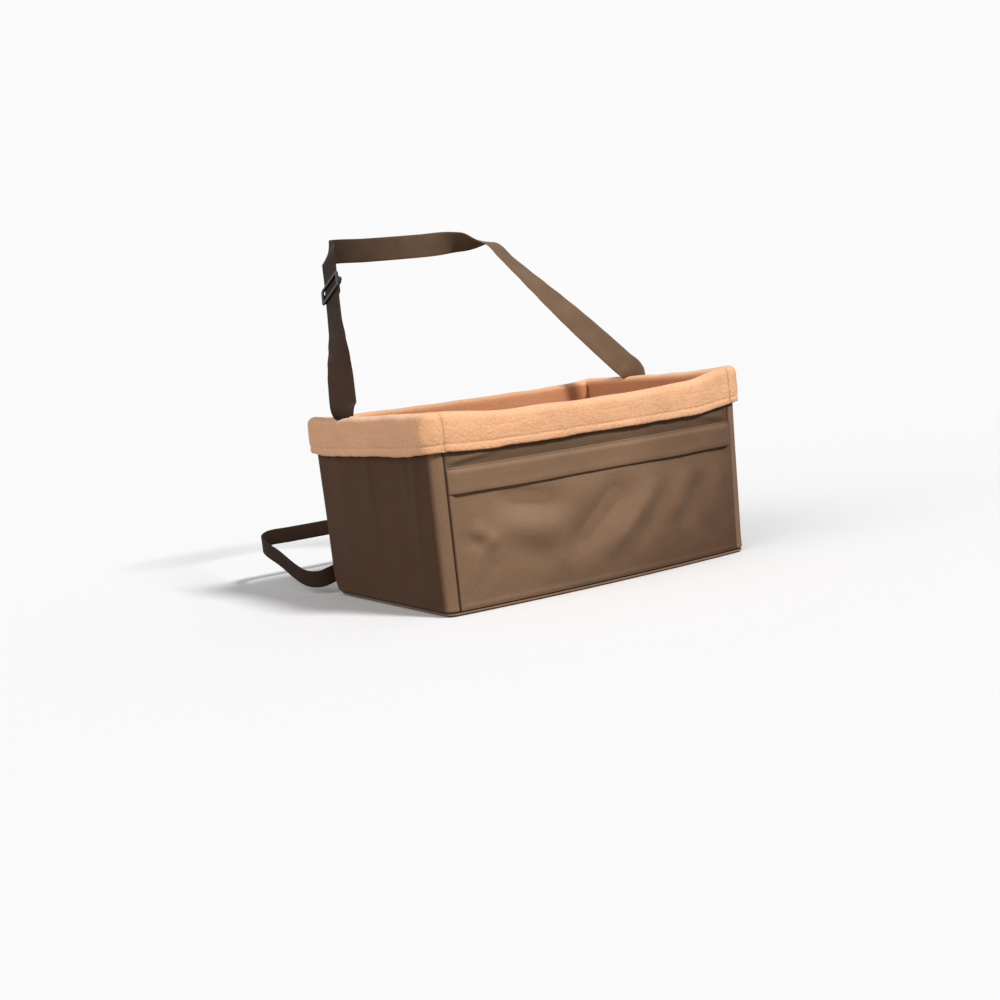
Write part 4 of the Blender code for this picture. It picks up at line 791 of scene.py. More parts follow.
def rounded_outline(half_x, low_y, high_y, radius, steps, front_steps=1):
    """Points round a rounded rectangle, also between the front corners if asked for."""
    x = half_x - radius
    centres = ((x, high_y - radius), (-x, high_y - radius), (-x, low_y + radius),
               (x, low_y + radius))
    points = []
    for quarter, centre in enumerate(centres):
        points += [round_place(Vector(centre), radius, (quarter + share) * math.pi / 2)[0]
                   for share in spread(steps)]
        if quarter == 2:
            points += [Vector((x * (2 * share - 1), low_y)) for share in spread(front_steps)[1:-1]]
    return points


def make_base_tray():
    """Bottom panel: the underside, and its edge turned up into a strip below the walls."""
    bm = bmesh.new()
    rings = []
    for share in spread(12):
        height = SEAM_HEIGHT * share
        bulge = 0.0013 * math.sin(math.pi * share)
        outline = rounded_outline(*wall_lines(height, -bulge), CORNER_RADIUS, 7, 24)
        rings.append([bm.verts.new(hang((plan.x, plan.y, height))) for plan in outline])
    join_rings(bm, rings)
    bm.faces.new(rings[0][::-1])
    lay_uvs(bm, lambda vert: (vert.co.x + vert.co.z, vert.co.y + vert.co.z))
    tray = add_object("shell_base", bm, "shell", replaced=("bottom_panel",), sharp_angle=50.0)
    thicken(tray)


def fold_rise(u, v):
    """How far the pocket's tapering folds stand out at a place, as a share of its bulge."""
    aspect = POCKET_TOP / (2 * SEAM_X)
    place = Vector((u, v * aspect))
    rise = 0.0
    for start, end, height, width in POCKET_FOLDS:
        first = Vector((start[0], start[1] * aspect))
        along = Vector((end[0], end[1] * aspect)) - first
        reach = clamp((place - first).dot(along) / along.length_squared)
        away = (place - first - along * reach).length
        taper = ease(0.15 + reach / 0.40) * ease(0.15 + (1 - reach) / 0.40)
        rise += height * taper * ridge(away, width)
    return rise * ease((0.985 - v) / 0.13)


def pocket_spot(u, v):
    """A place on the pocket's outer face, full in the middle with soft diagonal folds."""
    x = POCKET_HALF * (2 * u - 1)
    height = POCKET_FOOT + (POCKET_TOP - POCKET_FOOT) * v
    here = (x, 0, height)
    fullness = max(0.0, (1 - (2 * u - 1) ** 2) * math.sin(math.pi * v))
    folded = fullness + FOLD_STRENGTH * math.sqrt(fullness) * fold_rise(u, v)
    from_edge = min(POCKET_HALF - abs(x), height - POCKET_FOOT)
    out = POCKET_BACK + POCKET_BULGE * max(0.0, folded) + roll(from_edge, *POCKET_EDGE_ROLL)
    out += wave(here, *POCKET_SLACK) * ease(from_edge / 0.016)
    out += wave(here, *POCKET_PUCKER) * ridge(from_edge - 0.004, 0.006)
    return hang((x, -HALF_DEPTH - out, height))


def flap_spot(u, v, lift=0.0):
    """A place on the flap's outer face: sewn at its top edge, hemmed at the bottom."""
    x = FLAP_HALF * (2 * u - 1)
    height = FLAP_HEM_HEIGHT + FLAP_DROP * v
    from_seam = (1 - v) * FLAP_DROP
    from_hem = v * FLAP_DROP
    opened = min(1.0, 4 * (1 - v))
    at_end = 1 - 0.80 * ridge(FLAP_HALF - abs(x), 0.0065)
    out = POCKET_BACK + (FLAP_STANDOFF - CLEARANCE) * math.sin(opened * math.pi / 2) * at_end
    out += wave((x, 0, 0.1 * v), *FLAP_WAVE) * (1 - v)
    out += roll(from_seam, *FLAP_SEAM_ROLL) + roll(from_seam, *FLAP_SEAM_DIP)
    out += roll(from_hem, *FLAP_HEM_ROLL) + roll(from_hem, *FLAP_HEM_DIP)
    height += wave((x, 0, 0.7), *FLAP_HEM_WAVE) * (1 - v)
    return hang((x, -HALF_DEPTH - out - lift, height))


def stitch_rows(name, stitches, radius, finish, body="basket"):
    """Small raised stitches: each one is (start, end), its two ends."""
    bm = bmesh.new()
    for start, end in stitches:
        along = end - start
        turn = along.to_track_quat('X', 'Z').to_matrix().to_4x4()
        size = Matrix.Diagonal((along.length / 2, radius, radius, 1.0))
        place = Matrix.Translation((start + end) / 2)
        bmesh.ops.create_icosphere(bm, subdivisions=2, radius=1.0, matrix=place @ turn @ size)
    return add_object(name, bm, finish, body)


def running_stitches(spot, length, pitch, gap_share=0.28):
    """Ends of stitches along a line: spot gives the place at a share of its length."""
    count = max(1, round(length / pitch))
    return [(spot((index + gap_share / 2) / count), spot((index + 1 - gap_share / 2) / count))
            for index in range(count)]


def make_pocket():
    """Pocket panel, the flap over its mouth, and the flap's stitching."""
    cloth_sheet("pocket_cloth", pocket_spot, spread_fine_ends(POCKET_COLUMNS), POCKET_ROWS,
                POCKET_CLOTH_SIZE, "front", "basket", ("pocket_panel",))
    flap = cloth_sheet("flap_cloth", flap_spot, spread_fine_ends(FLAP_COLUMNS), FLAP_ROWS,
                       FLAP_CLOTH_SIZE, "front", None, ("pocket_flap",))
    seam_v = 1 - FLAP_SEAM_DIP[1] / FLAP_DROP
    seam_row = running_stitches(lambda share: flap_spot(share, seam_v, 2 * STITCH_LIFT),
                                2 * FLAP_HALF, STITCH_PITCH)
    seam = stitch_rows("flap_seam_stitches", seam_row, 0.00038, "thread", None)
    for piece in (flap, seam):
        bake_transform(piece)


def liner_section():
    """Closed section of the fleece: (inset, height, pile) round both faces."""
    inside = LINER_INSET + FLEECE / 2
    outside = -CUFF_STANDOFF - FLEECE / 2
    foot = FLOOR_TOP + CLEARANCE + PAD_CROWN / 10
    roll_start = BASKET_HEIGHT - RIM_RISE
    centre = (inside + outside) / 2
    half_width = (inside - outside) / 2
    middle = [(inside, foot + (roll_start - foot) * share) for share in spread(LINER_INNER_ROWS)]
    for share in spread(ROLL_STEPS)[1:-1]:
        middle.append((centre + half_width * math.cos(math.pi * share),
                       roll_start + 2 * RIM_RISE * math.sin(math.pi * share)))
    drop = roll_start - CUFF_HEM_HEIGHT
    middle += [(outside, roll_start - drop * share) for share in spread(CUFF_ROWS)]
    outer, inner = [], []
    last = len(middle) - 1
    for index, (inset, height) in enumerate(middle):
        along = (Vector(middle[min(index + 1, last)]) - Vector(middle[max(index - 1, 0)]))
        along.normalize()
        half = FLEECE / 2 * min(1.0, math.sqrt(min(1.0, (last - index + 0.4) / 2.4)))
        outer.append((inset + along.y * half, height - along.x * half, 1.0))
        inner.append((inset - along.y * half, height + along.x * half, 0.0))
    return outer, inner


def bend_radius(inset):
    """Radius of the liner's corners, never quite sharp."""
    return max(CORNER_RADIUS - inset, CORNER_RADIUS / 10)


def left_wall_plan(share, inset):
    """Left liner wall in plan, from the rear corner's seam round the front corner."""
    radius = bend_radius(inset)
    half_x = HALF_LENGTH - inset
    half_y = HALF_DEPTH - inset
    rear = Vector((radius - half_x, half_y - radius))
    front = Vector((radius - half_x, radius - half_y))
    if share < CORNER_BEND:
        return round_place(rear, radius, math.pi * (0.75 + 0.25 * share / CORNER_BEND))
    if share < FRONT_BEND_START:
        run = (share - CORNER_BEND) / (FRONT_BEND_START - CORNER_BEND)
        return rear.lerp(front, run) - Vector((radius, 0)), Vector((-1, 0))
    if share < FRONT_BEND_END:
        run = (share - FRONT_BEND_START) / (FRONT_BEND_END - FRONT_BEND_START)
        return round_place(front, radius, math.pi * (1 + run / 2))
    run = (share - FRONT_BEND_END) / (1 - FRONT_BEND_END)
    return Vector((front.x + (-SEAM_X - front.x) * run, -half_y)), Vector((0, -1))


def wall_plan(quarter, share, inset):
    """Plan place and outward direction on one liner wall, from seam to seam."""
    if quarter == 0:
        return Vector((SEAM_X * (2 * share - 1), inset - HALF_DEPTH)), Vector((0, -1))
    if quarter == 3:
        return left_wall_plan(share, inset)
    if quarter == 1 or share > 0.5:
        place, out = wall_plan(3 if quarter == 1 else 2, 1 - share, inset)
        return Vector((-place.x, place.y)), Vector((-out.x, out.y))
    radius = bend_radius(inset)
    half_x = HALF_LENGTH - inset - radius
    rear_y = HALF_DEPTH - inset - radius
    if share < CORNER_BEND:
        angle = math.pi * (0.25 + 0.25 * share / CORNER_BEND)
        return round_place(Vector((half_x, rear_y)), radius, angle)
    run = (share - CORNER_BEND) / (1 - 2 * CORNER_BEND)
    return Vector((half_x * (1 - 2 * run), rear_y + radius)), Vector((0, 1))


def patch_print(wall, place, height):
    """How strongly a sewn patch's outline prints through the cuff here, 0 to 1."""
    spot = place.x if wall in ("front", "rear") else place.y
    strongest = 0.0
    for centre in PATCH_SPOTS[wall]:
        across = abs(spot - centre) - PATCH_HALF_WIDTH
        upright = abs(height - PATCH_HEIGHT) - PATCH_HALF_HEIGHT
        strongest = max(strongest, ridge(max(across, upright), PATCH_EDGE))
    return strongest


def fleece_spot(wall, quarter, length, u, inset, height, piled):
    """A place on a fleece wall; piled is 1 on its face side and 0 on its back."""
    plan, out = wall_plan(quarter, u, inset)
    here = (plan.x, plan.y, height)
    from_seam = min(u, 1 - u) * length
    corner = ease(1 - from_seam / CORNER_LENGTH)
    from_far_corner = (plan - Vector((HALF_LENGTH, -HALF_DEPTH))).length

    plump = piled * (roll(from_seam, *FLEECE_SEAM_DIP)
                     + sum(wave(here, *grain) for grain in PILE_WAVES))
    if inset > 0.006:
        along = plan.y if quarter % 2 else plan.x
        plump -= piled * wave((along * 0.5, quarter, height), *INNER_WAVE)
    if inset < 0.002:
        rounded = math.sin(math.pi * ease((height - CUFF_HEM_HEIGHT) / 0.05))
        plump += piled * (wave(here, *CUFF_LUMPS) + CUFF_PLUMP * rounded
                          + roll(height, *HEM_STITCH_DIP)
                          - PATCH_RELIEF * patch_print(wall, plan, height))
    hem_wave = 0.0
    if inset < 0.0:
        flare = FLARE_WAVE[0] + wave((plan.x, plan.y, 3), *FLARE_WAVE)
        plump += CUFF_FLARE * ease((0.228 - height) / 0.017) * flare
        hem_wave = sum(wave((plan.x, plan.y, level), *grain)
                       for level, grain in enumerate(HEM_WAVES))
        hem_wave += roll(from_far_corner, *FAR_CORNER_HEM) + HEM_CORNER_LIFT * corner - HEM_DROP
        hem_wave *= ease((0.238 - height) / 0.027)

    stand = SIDE_LIFT if quarter % 2 else 0.0
    lump = stand + wave((plan.x, plan.y, 0.3), *RIM_LUMPS) + (CORNER_LIFT - stand) * corner
    lump += roll(from_far_corner, *FAR_CORNER_RISE)
    lump *= ease((height - BASKET_HEIGHT + RIM_SETTLE) / RIM_SETTLE)
    spot = plan + out * plump
    return hang((spot.x, spot.y, height + hem_wave + lump))


def make_liner():
    """Four fleece walls, turned over the rim as the cuff, meeting in corner seams."""
    outer, inner = liner_section()
    section = outer + list(reversed(inner))
    count = len(section)
    for wall, quarter, length, columns in WALLS:
        across = spread_fine_ends(columns)

        def place(u, v):
            return fleece_spot(wall, quarter, length, u, *section[round(v * count) % count])

        up = [index / count for index in range(count)]
        bm = grid_bmesh(place, across, up, (length, 2 * LINER_CLOTH_DROP), wrap=True)
        bm.verts.ensure_lookup_table()
        for column in (0, len(across) - 1):
            for row in range(len(outer) - 1):
                ends = (row, row + 1, count - 2 - row, count - 1 - row)
                bm.faces.new([bm.verts[index * len(across) + column] for index in ends])
        bmesh.ops.recalc_face_normals(bm, faces=bm.faces)
        bm.faces.ensure_lookup_table()
        # Inner walls and the inner half of the roll take the fleece with painted shade
        inner_faces = (len(across) - 1) * (LINER_INNER_ROWS + ROLL_STEPS // 2)
        for face in bm.faces[:inner_faces]:
            face.material_index = 1
        piece = add_object(f"fleece_{wall}", bm, "fleece", "basket", (f"liner_{wall}",))
        piece.data.materials.append(finishes["inner_shaded_fleece"])
        if wall in ("left", "right"):
            cut_strap_slit(piece, -1 if wall == "left" else 1)
        sewing = sew_cuff(wall, quarter, length)


def share_along(quarter, along, inset):
    """Share of a wall's width at which a place along it lies."""
    if quarter == 0:
        return (along / SEAM_X + 1) / 2
    radius = bend_radius(inset)
    half = (HALF_LENGTH if quarter == 2 else HALF_DEPTH) - inset - radius
    run = (half - along) / (2 * half)
    if quarter == 2:
        return CORNER_BEND + (1 - 2 * CORNER_BEND) * run
    share = CORNER_BEND + (FRONT_BEND_START - CORNER_BEND) * run
    return share if quarter == 3 else 1 - share


def patch_sides(centre):
    """The four sides of a sewn patch, as pairs of (place along the wall, height)."""
    left, right = centre - PATCH_HALF_WIDTH, centre + PATCH_HALF_WIDTH
    low, high = PATCH_HEIGHT - PATCH_HALF_HEIGHT, PATCH_HEIGHT + PATCH_HALF_HEIGHT
    return (((left, low), (right, low)), ((left, high), (right, high)),
            ((left, low), (left, high)), ((right, low), (right, high)))


def sew_cuff(wall, quarter, length):
    """Hem stitching round the cuff, and the patches' stitching that shows through it."""
    face = -CUFF_STANDOFF - FLEECE + 0.0009

    def on_cuff(share, height):
        return fleece_spot(wall, quarter, length, share, face, height, 1.0)

    stitches = running_stitches(lambda share: on_cuff(0.03 + 0.94 * share, HEM_STITCH_HEIGHT),
                                length * 0.94, CUFF_STITCH_PITCH)
    for centre in PATCH_SPOTS[wall]:
        for side in patch_sides(centre):
            start, end = (Vector(corner) for corner in side)

            def spot(share):
                along, height = start.lerp(end, share)
                return on_cuff(share_along(quarter, along, face), height)

            stitches += running_stitches(spot, (end - start).length, CUFF_STITCH_PITCH)
    return stitch_rows(f"cuff_stitches_{wall}", stitches, 0.00045, "pale_thread")


def add_box(bm, low, high):
    """A box between two corners; gives its vertices."""
    low, high = Vector(low), Vector(high)
    matrix = Matrix.Translation((low + high) / 2) @ Matrix.Diagonal((*(high - low), 1.0))
    return bmesh.ops.create_cube(bm, size=1.0, matrix=matrix)["verts"]


def cut_strap_slit(piece, side):
    """The slit in the cuff's fold that the strap comes out of."""
    half = STRAP_WIDTH / 2 + 0.001
    low_x, high_x = sorted((side * (HALF_LENGTH - 0.0012), side * (HALF_LENGTH + 0.0036)))
    bm = bmesh.new()
    add_box(bm, (low_x, STRAP_FOOT_Y - half, BASKET_HEIGHT - 0.012),
            (high_x, STRAP_FOOT_Y + half, BASKET_HEIGHT + 0.03))
    cutter = mesh_object("slit", bm)
    modifier = piece.modifiers.new("slit", 'BOOLEAN')
    modifier.operation = 'DIFFERENCE'
    modifier.object = cutter
    modifier.solver = 'EXACT'
    bpy.context.view_layer.update()
    graph = bpy.context.evaluated_depsgraph_get()
    cut = bpy.data.meshes.new_from_object(piece.evaluated_get(graph))
    piece.modifiers.clear()
    piece.data = cut
    bpy.data.objects.remove(cutter, do_unlink=True)


def pad_crown(x, y):
    """Height of the pad's crown at a place."""
    across = 1.0 - min(1.0, abs(x) / HALF_LENGTH) ** 2
    along = 1.0 - min(1.0, abs(y) / HALF_DEPTH) ** 2
    return PAD_CROWN * across * along


def soft_slab(name, finish, half_x, low_y, high_y, bottom, top, crowned_bottom, replaced):
    """A closed pad: crowned top, rolled edges, flat where it lies on the board."""
    bm = bmesh.new()

    def place(column, row, is_top):
        x = half_x * (2 * column / SLAB_COLUMNS - 1)
        y = low_y + (high_y - low_y) * row / SLAB_ROWS
        edge = min(half_x - abs(x), y - low_y, high_y - y)
        crown = pad_crown(x, y)
        if not is_top:
            return hang((x, y, bottom + (crown if crowned_bottom else 0.0)))
        rolled = (top - bottom) * 0.40 * (1 - ease(edge / 0.010))
        dimple = wave((x, y, 0), *PAD_DIMPLES) * ease(edge / 0.03)
        return hang((x, y, top - rolled + crown + dimple))

    lower, upper = ([[bm.verts.new(place(column, row, is_top)) for column in range(SLAB_COLUMNS + 1)]
                     for row in range(SLAB_ROWS + 1)] for is_top in (False, True))
    for row in range(SLAB_ROWS):
        for column in range(SLAB_COLUMNS):
            for layer, order in ((upper, 1), (lower, -1)):
                quad = (layer[row][column], layer[row][column + 1],
                        layer[row + 1][column + 1], layer[row + 1][column])
                bm.faces.new(quad[::order])
    rims = [layer[0][:-1] + [line[-1] for line in layer[:-1]] + layer[-1][:0:-1]
            + [line[0] for line in layer[:0:-1]] for layer in (lower, upper)]
    join_rings(bm, rims)
    add_object(name, bm, finish, replaced=replaced)


def make_padding():
    """Foam pad, and the fleece floor over it."""
    half_x = HALF_LENGTH - LINER_INSET
    front_y = -HALF_DEPTH + LINER_INSET
    soft_slab("foam_pad", "foam", half_x, front_y, HALF_DEPTH - REAR_BASE_RADIUS,
              BASE_BOARD_TOP + CLEARANCE, PAD_TOP - 0.0013, False, ("base_pad",))
    soft_slab("fleece_floor", "fleece", half_x - 0.001, front_y + 0.001, HALF_DEPTH - 0.0095,
              PAD_TOP + 2 * CLEARANCE, FLOOR_TOP, True, ("liner_floor",))


def fillet_path(points, radius, steps=6):
    """Round the corners of a path of points with arcs."""
    path = [Vector(points[0])]
    for before, corner, after in zip(points, points[1:], points[2:]):
        corner = Vector(corner)
        back = Vector(before) - corner
        ahead = Vector(after) - corner
        half_turn = back.angle(ahead) / 2
        if math.pi / 2 - half_turn < math.radians(1.0):
            path.append(corner)
            continue
        reach = radius / math.tan(half_turn)
        start = corner + back.normalized() * reach
        end = corner + ahead.normalized() * reach
        centre = corner + (back.normalized() + ahead.normalized()).normalized() * (
            radius / math.sin(half_turn))
        for step in range(steps + 1):
            arm = (start - centre).slerp(end - centre, step / steps)
            path.append(centre + arm.normalized() * radius)
    path.append(Vector(points[-1]))
    return path


def smooth_path(keys, spacing):
    """Points about one spacing apart on a smooth curve through (place, across) keys."""
    places = [Vector(key[0]) for key in keys]
    acrosses = [Vector(key[1]) for key in keys]
    result = []
    for index in range(len(keys) - 1):
        before = places[max(index - 1, 0)]
        start, end = places[index], places[index + 1]
        after = places[min(index + 2, len(keys) - 1)]
        length = (end - start).length
        lead_in = (end - before).normalized() * length
        lead_out = (after - start).normalized() * length
        count = max(1, round(length / spacing))
        for step in range(count):
            t = step / count
            place = (start * (2 * t ** 3 - 3 * t ** 2 + 1) + lead_in * (t ** 3 - 2 * t ** 2 + t)
                     + end * (3 * t ** 2 - 2 * t ** 3) + lead_out * (t ** 3 - t ** 2))
            result.append((place, acrosses[index].lerp(acrosses[index + 1], ease(t))))
    result.append((places[-1], acrosses[-1]))
    return result


def webbing_strip(name, path, width, thickness, replaced, body="basket"):
    """Webbing with rounded selvedges, along (place, across) pairs."""
    edge = thickness / 2
    core = width / 2 - edge
    flat = [core * (2 * share - 1) for share in spread(8)]
    end = [(edge * math.cos(angle), edge * math.sin(angle)) for angle in (0.8, 0.0, -0.8)]
    ring = [(x, edge) for x in flat] + [(core + x, y) for x, y in end]
    ring += [(x, -edge) for x in reversed(flat)] + [(-core - x, -y) for x, y in end]
    bm = bmesh.new()
    rows, uvs = [], {}
    travelled = 0.0
    for index, (place, across) in enumerate(path):
        before = path[max(index - 1, 0)][0]
        after = path[min(index + 1, len(path) - 1)][0]
        along = (after - before).normalized()
        side = (across - along * across.dot(along)).normalized()
        normal = side.cross(along)
        travelled += (place - before).length
        row = [bm.verts.new(place + side * x + normal * y) for x, y in ring]
        uvs.update((vert, (x, travelled)) for vert, (x, _) in zip(row, ring))
        rows.append(row)
    join_rings(bm, rows)
    lay_uvs(bm, uvs.get)
    bm.faces.new(rows[0][::-1])
    bm.faces.new(rows[-1])
    bmesh.ops.recalc_face_normals(bm, faces=bm.faces)
    add_object(name, bm, "webbing", body, replaced, sharp_angle=55.0)


def leg_frame(side):
    """Start, end, direction and the two width directions of one leg of the strap."""
    start = Vector((side * (HALF_LENGTH + CLEARANCE + WEBBING / 2), STRAP_FOOT_Y,
                    STRAP_EXIT_HEIGHT))
    end = Vector((side * HEAD_GAP_X, HEAD_GAP_Y, HEAD_GAP_HEIGHT))
    along = (end - start).normalized()
    level = along.cross(Vector((0, 0, 1))).normalized()
    if level.x < 0:
        level = -level
    steep = along.cross(level)
    if steep.z < 0:
        steep = -steep
    return start, end, along, level, steep


def across_at(level, steep, angle):
    """Width direction of the webbing at this twist."""
    return level * math.cos(angle) + steep * math.sin(angle)


def leg_keys(side):
    """One leg's (place, across) keys, from its tab in the cuff up to the top of the loop."""
    start, end, along, level, steep = leg_frame(side)
    tab_low = CUFF_HEM_HEIGHT + 2 * CLEARANCE
    lean = SIDE_DRAW_IN * (1.0 - tab_low / BASKET_HEIGHT)
    foot_across = Vector((0, -side, 0))
    keys = [(Vector((start.x - side * lean, STRAP_FOOT_Y, tab_low)), foot_across),
            (Vector((start.x, STRAP_FOOT_Y, BASKET_HEIGHT - RIM_RISE)), foot_across),
            (start, (foot_across + side * level * FOOT_TURN).normalized())]
    fold = STRAP_WIDTH * 0.7
    length = (end - start).length - fold
    for share in spread(LEG_STOPS):
        twist = STRAP_TWIST_RIGHT * ease(1.0 - share)
        if side < 0:
            twist = STRAP_TWIST_LEFT * ease(length * share / (STRAP_TWIST_END - fold))
        keys.append((start + along * (fold + length * share),
                     side * across_at(level, steep, twist)))
    return keys


def strap_keys():
    """The strap's (place, across) keys, from the left tab to the right tab."""
    down = Vector((0, 0, -1))
    bend = Vector((-(HEAD_GAP_X + POST_HALF_SPACING) / 2, (HEAD_GAP_Y + 3 * POST_BACK_Y) / 4,
                   POST_BACK_HEIGHT))
    level = leg_frame(1)[3]
    behind = [(bend, down),
              (Vector((-POST_HALF_SPACING * 0.6, POST_BACK_Y, POST_BACK_HEIGHT)), down),
              (Vector((POST_HALF_SPACING * 0.6, POST_BACK_Y, POST_BACK_HEIGHT)), down),
              (Vector((-bend.x, bend.y, bend.z)), (down + level * 0.8).normalized())]
    return leg_keys(-1) + behind + leg_keys(1)[::-1]


def adjuster_matrix():
    """Frame of the adjuster: X across the webbing, Y up along it, Z out of its face."""
    start, _, along, level, steep = leg_frame(-1)
    across = across_at(level, steep, STRAP_TWIST_LEFT)
    out = across.cross(along)
    place = start + along * ADJUSTER_PLACE
    return Matrix.Translation(place) @ Matrix((across, along, out)).transposed().to_4x4()


def make_head_strap():
    """Webbing from rim to rim, and the doubled end that the adjuster's bar holds."""
    webbing_strip("head_strap", smooth_path(strap_keys(), 0.005), STRAP_WIDTH, WEBBING,
                  ("headrest_strap",))
    frame_matrix = adjuster_matrix()
    tab = TAB_WEBBING
    upper = -(ADJUSTER_ABOVE + tab / 2)
    lower = CENTRE_BAR_BOTTOM - CLEARANCE - tab / 2
    turn = CENTRE_BAR_HALF + CLEARANCE + tab / 2
    join = upper - tab - CLEARANCE
    points = [(0, -TAB_LENGTH, upper), (0, turn, upper), (0, turn, lower),
              (0, -turn - CLEARANCE, lower), (0, -turn * 2, join), (0, -TAB_LENGTH * 0.8, join)]
    across = frame_matrix.to_3x3() @ Vector((1, 0, 0))
    placed = [(frame_matrix @ place, across) for place in fillet_path(points, tab)]
    webbing_strip("adjuster_loop", placed, STRAP_WIDTH - 4 * CLEARANCE, tab, ("adjuster_tab",),
                  "adjuster")


def add_soft_box(bm, low, high):
    """A box with rounded edges."""
    edges = {line for vert in add_box(bm, low, high) for line in vert.link_edges}
    bmesh.ops.bevel(bm, geom=list(edges), offset=PLASTIC_EDGE * 0.8, segments=3, affect='EDGES',
                    profile=0.5)


def make_adjuster():
    """Three-bar adjuster with moulded edges: frame over the webbing, centre bar under it."""
    window_half = ADJUSTER_HALF_LENGTH - ADJUSTER_BAR
    outer = rounded_outline(ADJUSTER_HALF_WIDTH, -ADJUSTER_HALF_LENGTH, ADJUSTER_HALF_LENGTH,
                            ADJUSTER_CORNER, 8)
    inner = rounded_outline(ADJUSTER_OPENING, -window_half, window_half, ADJUSTER_CORNER / 4, 8)
    edge = PLASTIC_EDGE
    low, high = ADJUSTER_ABOVE, ADJUSTER_TOP
    window_side = [(0.0, low + edge), (0.0, high - edge), (0.3 * edge, high - 0.3 * edge),
                   (edge, high)]
    outer_side = [(-edge, high), (-0.3 * edge, high - 0.3 * edge), (0.0, high - edge),
                  (0.0, low + edge), (-edge, low)]
    bm = bmesh.new()
    rings = []
    for near, far in zip(inner, outer):
        out = (far - near).normalized()
        section = [(near + out * inset, height) for inset, height in window_side]
        section += [(far + out * inset, height) for inset, height in outer_side]
        section.append((near + out * edge, low))
        rings.append([bm.verts.new((plan.x, plan.y, height)) for plan, height in section])
    join_rings(bm, rings + rings[:1])
    add_soft_box(bm, (-ADJUSTER_HALF_WIDTH, -CENTRE_BAR_HALF, CENTRE_BAR_BOTTOM),
                 (ADJUSTER_HALF_WIDTH, CENTRE_BAR_HALF, -TAB_OUTER))
    rail = ADJUSTER_HALF_WIDTH - ADJUSTER_OPENING
    for side in (-1, 1):
        near, far = sorted((side * ADJUSTER_OPENING, side * (ADJUSTER_HALF_WIDTH - rail / 4)))
        add_soft_box(bm, (near, -window_half / 2, CENTRE_BAR_BOTTOM + CLEARANCE / 2),
                     (far, window_half / 2, ADJUSTER_ABOVE + ADJUSTER_THICKNESS / 2))
    bmesh.ops.recalc_face_normals(bm, faces=bm.faces)
    bmesh.ops.transform(bm, matrix=adjuster_matrix(), verts=bm.verts)
    add_object("adjuster_frame", bm, "plastic", "adjuster", ("strap_adjuster",), sharp_angle=50.0)


def box_and_cross(corner, along, up):
    """Stitches of a sewn box with a cross in it, from a corner and its two sides."""
    corners = [corner, corner + along, corner + along + up, corner + up]
    lines = list(zip(corners, corners[1:] + corners[:1]))
    lines += [(corners[0], corners[2]), (corners[1], corners[3])]
    stitches = []
    for first, second in lines:
        stitches += running_stitches(lambda share, first=first, second=second:
                                     first.lerp(second, share), (second - first).length,
                                     STITCH_PITCH)
    return stitches


def sew_straps():
    """Box-and-cross stitching where the straps are sewn down."""
    face_y = HALF_DEPTH + CLEARANCE + WEBBING + STITCH_LIFT
    low = REAR_TAB_HEIGHT - REAR_WIDTH / 2 + STITCH_MARGIN
    high = REAR_TAB_HEIGHT + REAR_WIDTH / 2 - STITCH_MARGIN
    for side, name in ((-1, "left"), (1, "right")):
        start = Vector((side * (REAR_TAB_INNER + STITCH_MARGIN), face_y, low))
        stitches = box_and_cross(start, Vector((side * REAR_STITCH_LENGTH, 0, 0)),
                                 Vector((0, 0, high - low)))
        stitch_rows(f"rear_tab_stitches_{name}", stitches, STITCH_RADIUS, "thread")
    frame_matrix = adjuster_matrix()
    half = STRAP_WIDTH / 2 - 3 * STITCH_MARGIN / 2
    depth = -(WEBBING / 2 + 3 * CLEARANCE + 2 * TAB_WEBBING + STITCH_LIFT)
    start = Vector((-half, -TAB_LENGTH * 0.76, depth))
    stitches = box_and_cross(start, Vector((2 * half, 0, 0)), Vector((0, TAB_LENGTH * 0.46, 0)))
    placed = [(frame_matrix @ first, frame_matrix @ second) for first, second in stitches]
    stitch_rows("adjuster_loop_stitches", placed, STITCH_RADIUS, "thread", "adjuster")


def upright_keys(places, side=1):
    """Keys of webbing that stands on its edge, mirrored for side -1."""
    return [(Vector((side * x, y, z)), Vector((0, 0, 1))) for x, y, z in places]


def rear_leg_keys(side, back_y):
    """Rear strap from its tab on the rear panel, outwards and round to its straight back."""
    tab_y = HALF_DEPTH + CLEARANCE + WEBBING / 2
    side_z = REAR_TAB_HEIGHT - REAR_WIDTH / 2
    reach = REAR_SIDE_X - HALF_LENGTH
    middle_y = (HALF_DEPTH + REAR_SIDE_Y) / 2
    return upright_keys([
        (REAR_TAB_INNER, tab_y, REAR_TAB_HEIGHT),
        (HALF_LENGTH - REAR_BEND, tab_y, REAR_TAB_HEIGHT - WEBBING),
        (HALF_LENGTH - CORNER_RADIUS / 2, tab_y + WEBBING, (REAR_TAB_HEIGHT + side_z) / 2),
        (HALF_LENGTH + reach * 0.45, HALF_DEPTH + REAR_WIDTH * 0.55, side_z),
        (HALF_LENGTH + reach * 0.85, middle_y - REAR_WIDTH / 2, side_z + WEBBING),
        (REAR_SIDE_X, REAR_SIDE_Y, REAR_SIDE_HEIGHT),
        (REAR_SIDE_X - CORNER_RADIUS / 3, back_y - REAR_BEND,
         REAR_BACK_HEIGHT - CORNER_RADIUS / 2),
        (REAR_SIDE_X - REAR_BEND, back_y - CORNER_RADIUS / 6, REAR_BACK_HEIGHT),
    ], side)


